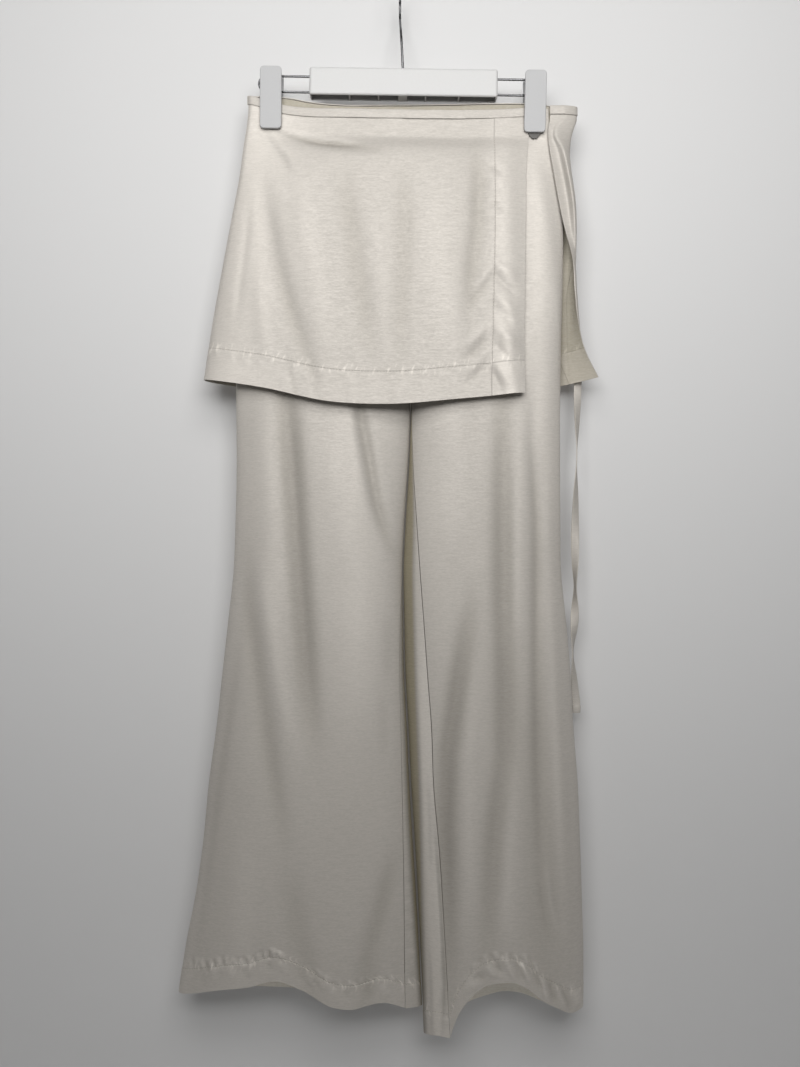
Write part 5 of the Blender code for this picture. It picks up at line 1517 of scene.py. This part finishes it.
def make_stage():
    z = FLOOR
    y = WALL
    floor = plain_finish("pale_floor", (0.62, 0.62, 0.62), 0.85)[0]
    plane("floor", [(-4, -4, z), (4, -4, z), (4, 4, z), (-4, 4, z)], floor)
    plane("wall", [(-4, y, z), (4, y, z), (4, y, 2.5), (-4, y, 2.5)], wall_finish())
    for lamp in LAMPS:
        area_light(lamp)
    world = bpy.data.worlds.new("room")
    world.use_nodes = True
    sky = world.node_tree.nodes["Background"]
    feed(world.node_tree, sky, {"Color": (1.0, 1.0, 1.0, 1.0), "Strength": ROOM_LIGHT})
    bpy.context.scene.world = world
    bpy.context.scene.view_settings.view_transform = "Standard"


def make_camera():
    data = bpy.data.cameras.new("camera")
    data.lens = CAMERA_LENS
    data.sensor_width = 36.0
    data.sensor_fit = "AUTO"
    data.clip_start = 0.05
    camera = link(bpy.data.objects.new("camera", data))
    camera.location = CAMERA_PLACE
    camera.rotation_euler = (math.radians(90), 0.0, 0.0)
    bpy.context.scene.camera = camera


# ---------------- the part
def placed(piece, nodes):
    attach(piece, BODY)
    if nodes:
        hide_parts(*nodes)
    return piece


def finish_node(name, finish):
    """Gives a CAD node that stays its finish."""
    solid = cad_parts[name]
    if not solid.material_slots:
        solid.data.materials.append(finish)
    for slot in solid.material_slots:
        slot.material = finish


def hang_tie(satin, tree):
    tie, tie_end, route, length = make_tie(satin)
    placed(tie, ["tie"])
    placed(tie_end, ["tie_end"])
    ladder = placed(stitched("tie_stitches", tie_rails(), tree, TIE_STITCH), [])


def hang_garment(satin, crepe, leg_inside, tree):
    shells = [trouser_shell(name) for name in FOLDS if name.startswith("trouser")]
    shells += [apron_shell(), skirt_back_shell()]
    rails = []
    for shell in shells:
        sheet = SHEETS[shell.name]
        reverse = leg_inside if shell.name.startswith("trouser") else crepe
        piece = placed(sewn_piece(shell, (satin, reverse), sheet.title), [shell.name])
        if shell.name == "overskirt_front":
            rails += [hem_rail(shell, PLACKET_HEM_END), placket_rail(shell)]
        else:
            rails.append(hem_rail(shell))
    placed(stitched("hem_stitches", rails, tree, HEM_STITCH), [])
    for piece, name in zip(make_bindings(satin), ("binding_front", "binding_back")):
        placed(piece, [name])


def make_hanger():
    steel = wire_finish()
    hook = wire("wire_hook", hook_points(), WIRE_RADIUS * MILLIMETRE, steel)
    placed(hook, ["hook"])
    for name, bar_end, rod_end in RODS:
        rod = wire("bent_" + name, rod_points(bar_end, rod_end), ROD_RADIUS * MILLIMETRE, steel)
        placed(rod, [name])
    finish_node("hanger_bar", moulded_finish("white_bar", BAR_WHITE, 0.42, 420.0, 0.00003))
    grey = moulded_finish("pale_clip", CLIP_GREY, 0.46, 420.0, 0.0001)
    for name in JAWS:
        finish_node(name, grey)
    rubber = moulded_finish("dark_pad", PAD_RUBBER, 0.6, 900.0, 0.0002)
    for name in ("pad_left", "pad_right"):
        finish_node(name, rubber)


def main():
    make_camera()
    groups = (slub_group(), sewn_line_group(), fold_shade_group())
    satin = cloth_finish("ivory_satin", SATIN, *groups)
    crepe = cloth_finish("crepe_reverse", CREPE, *groups)
    leg_inside = cloth_finish("leg_inside", LEG_INSIDE, *groups)
    tree = stitch_tree(moulded_finish("ivory_thread", THREAD_IVORY, 0.55, 2500.0, 0.0001))
    hang_tie(satin, tree)
    hang_garment(satin, crepe, leg_inside, tree)
    make_hanger()
    make_stage()


main()
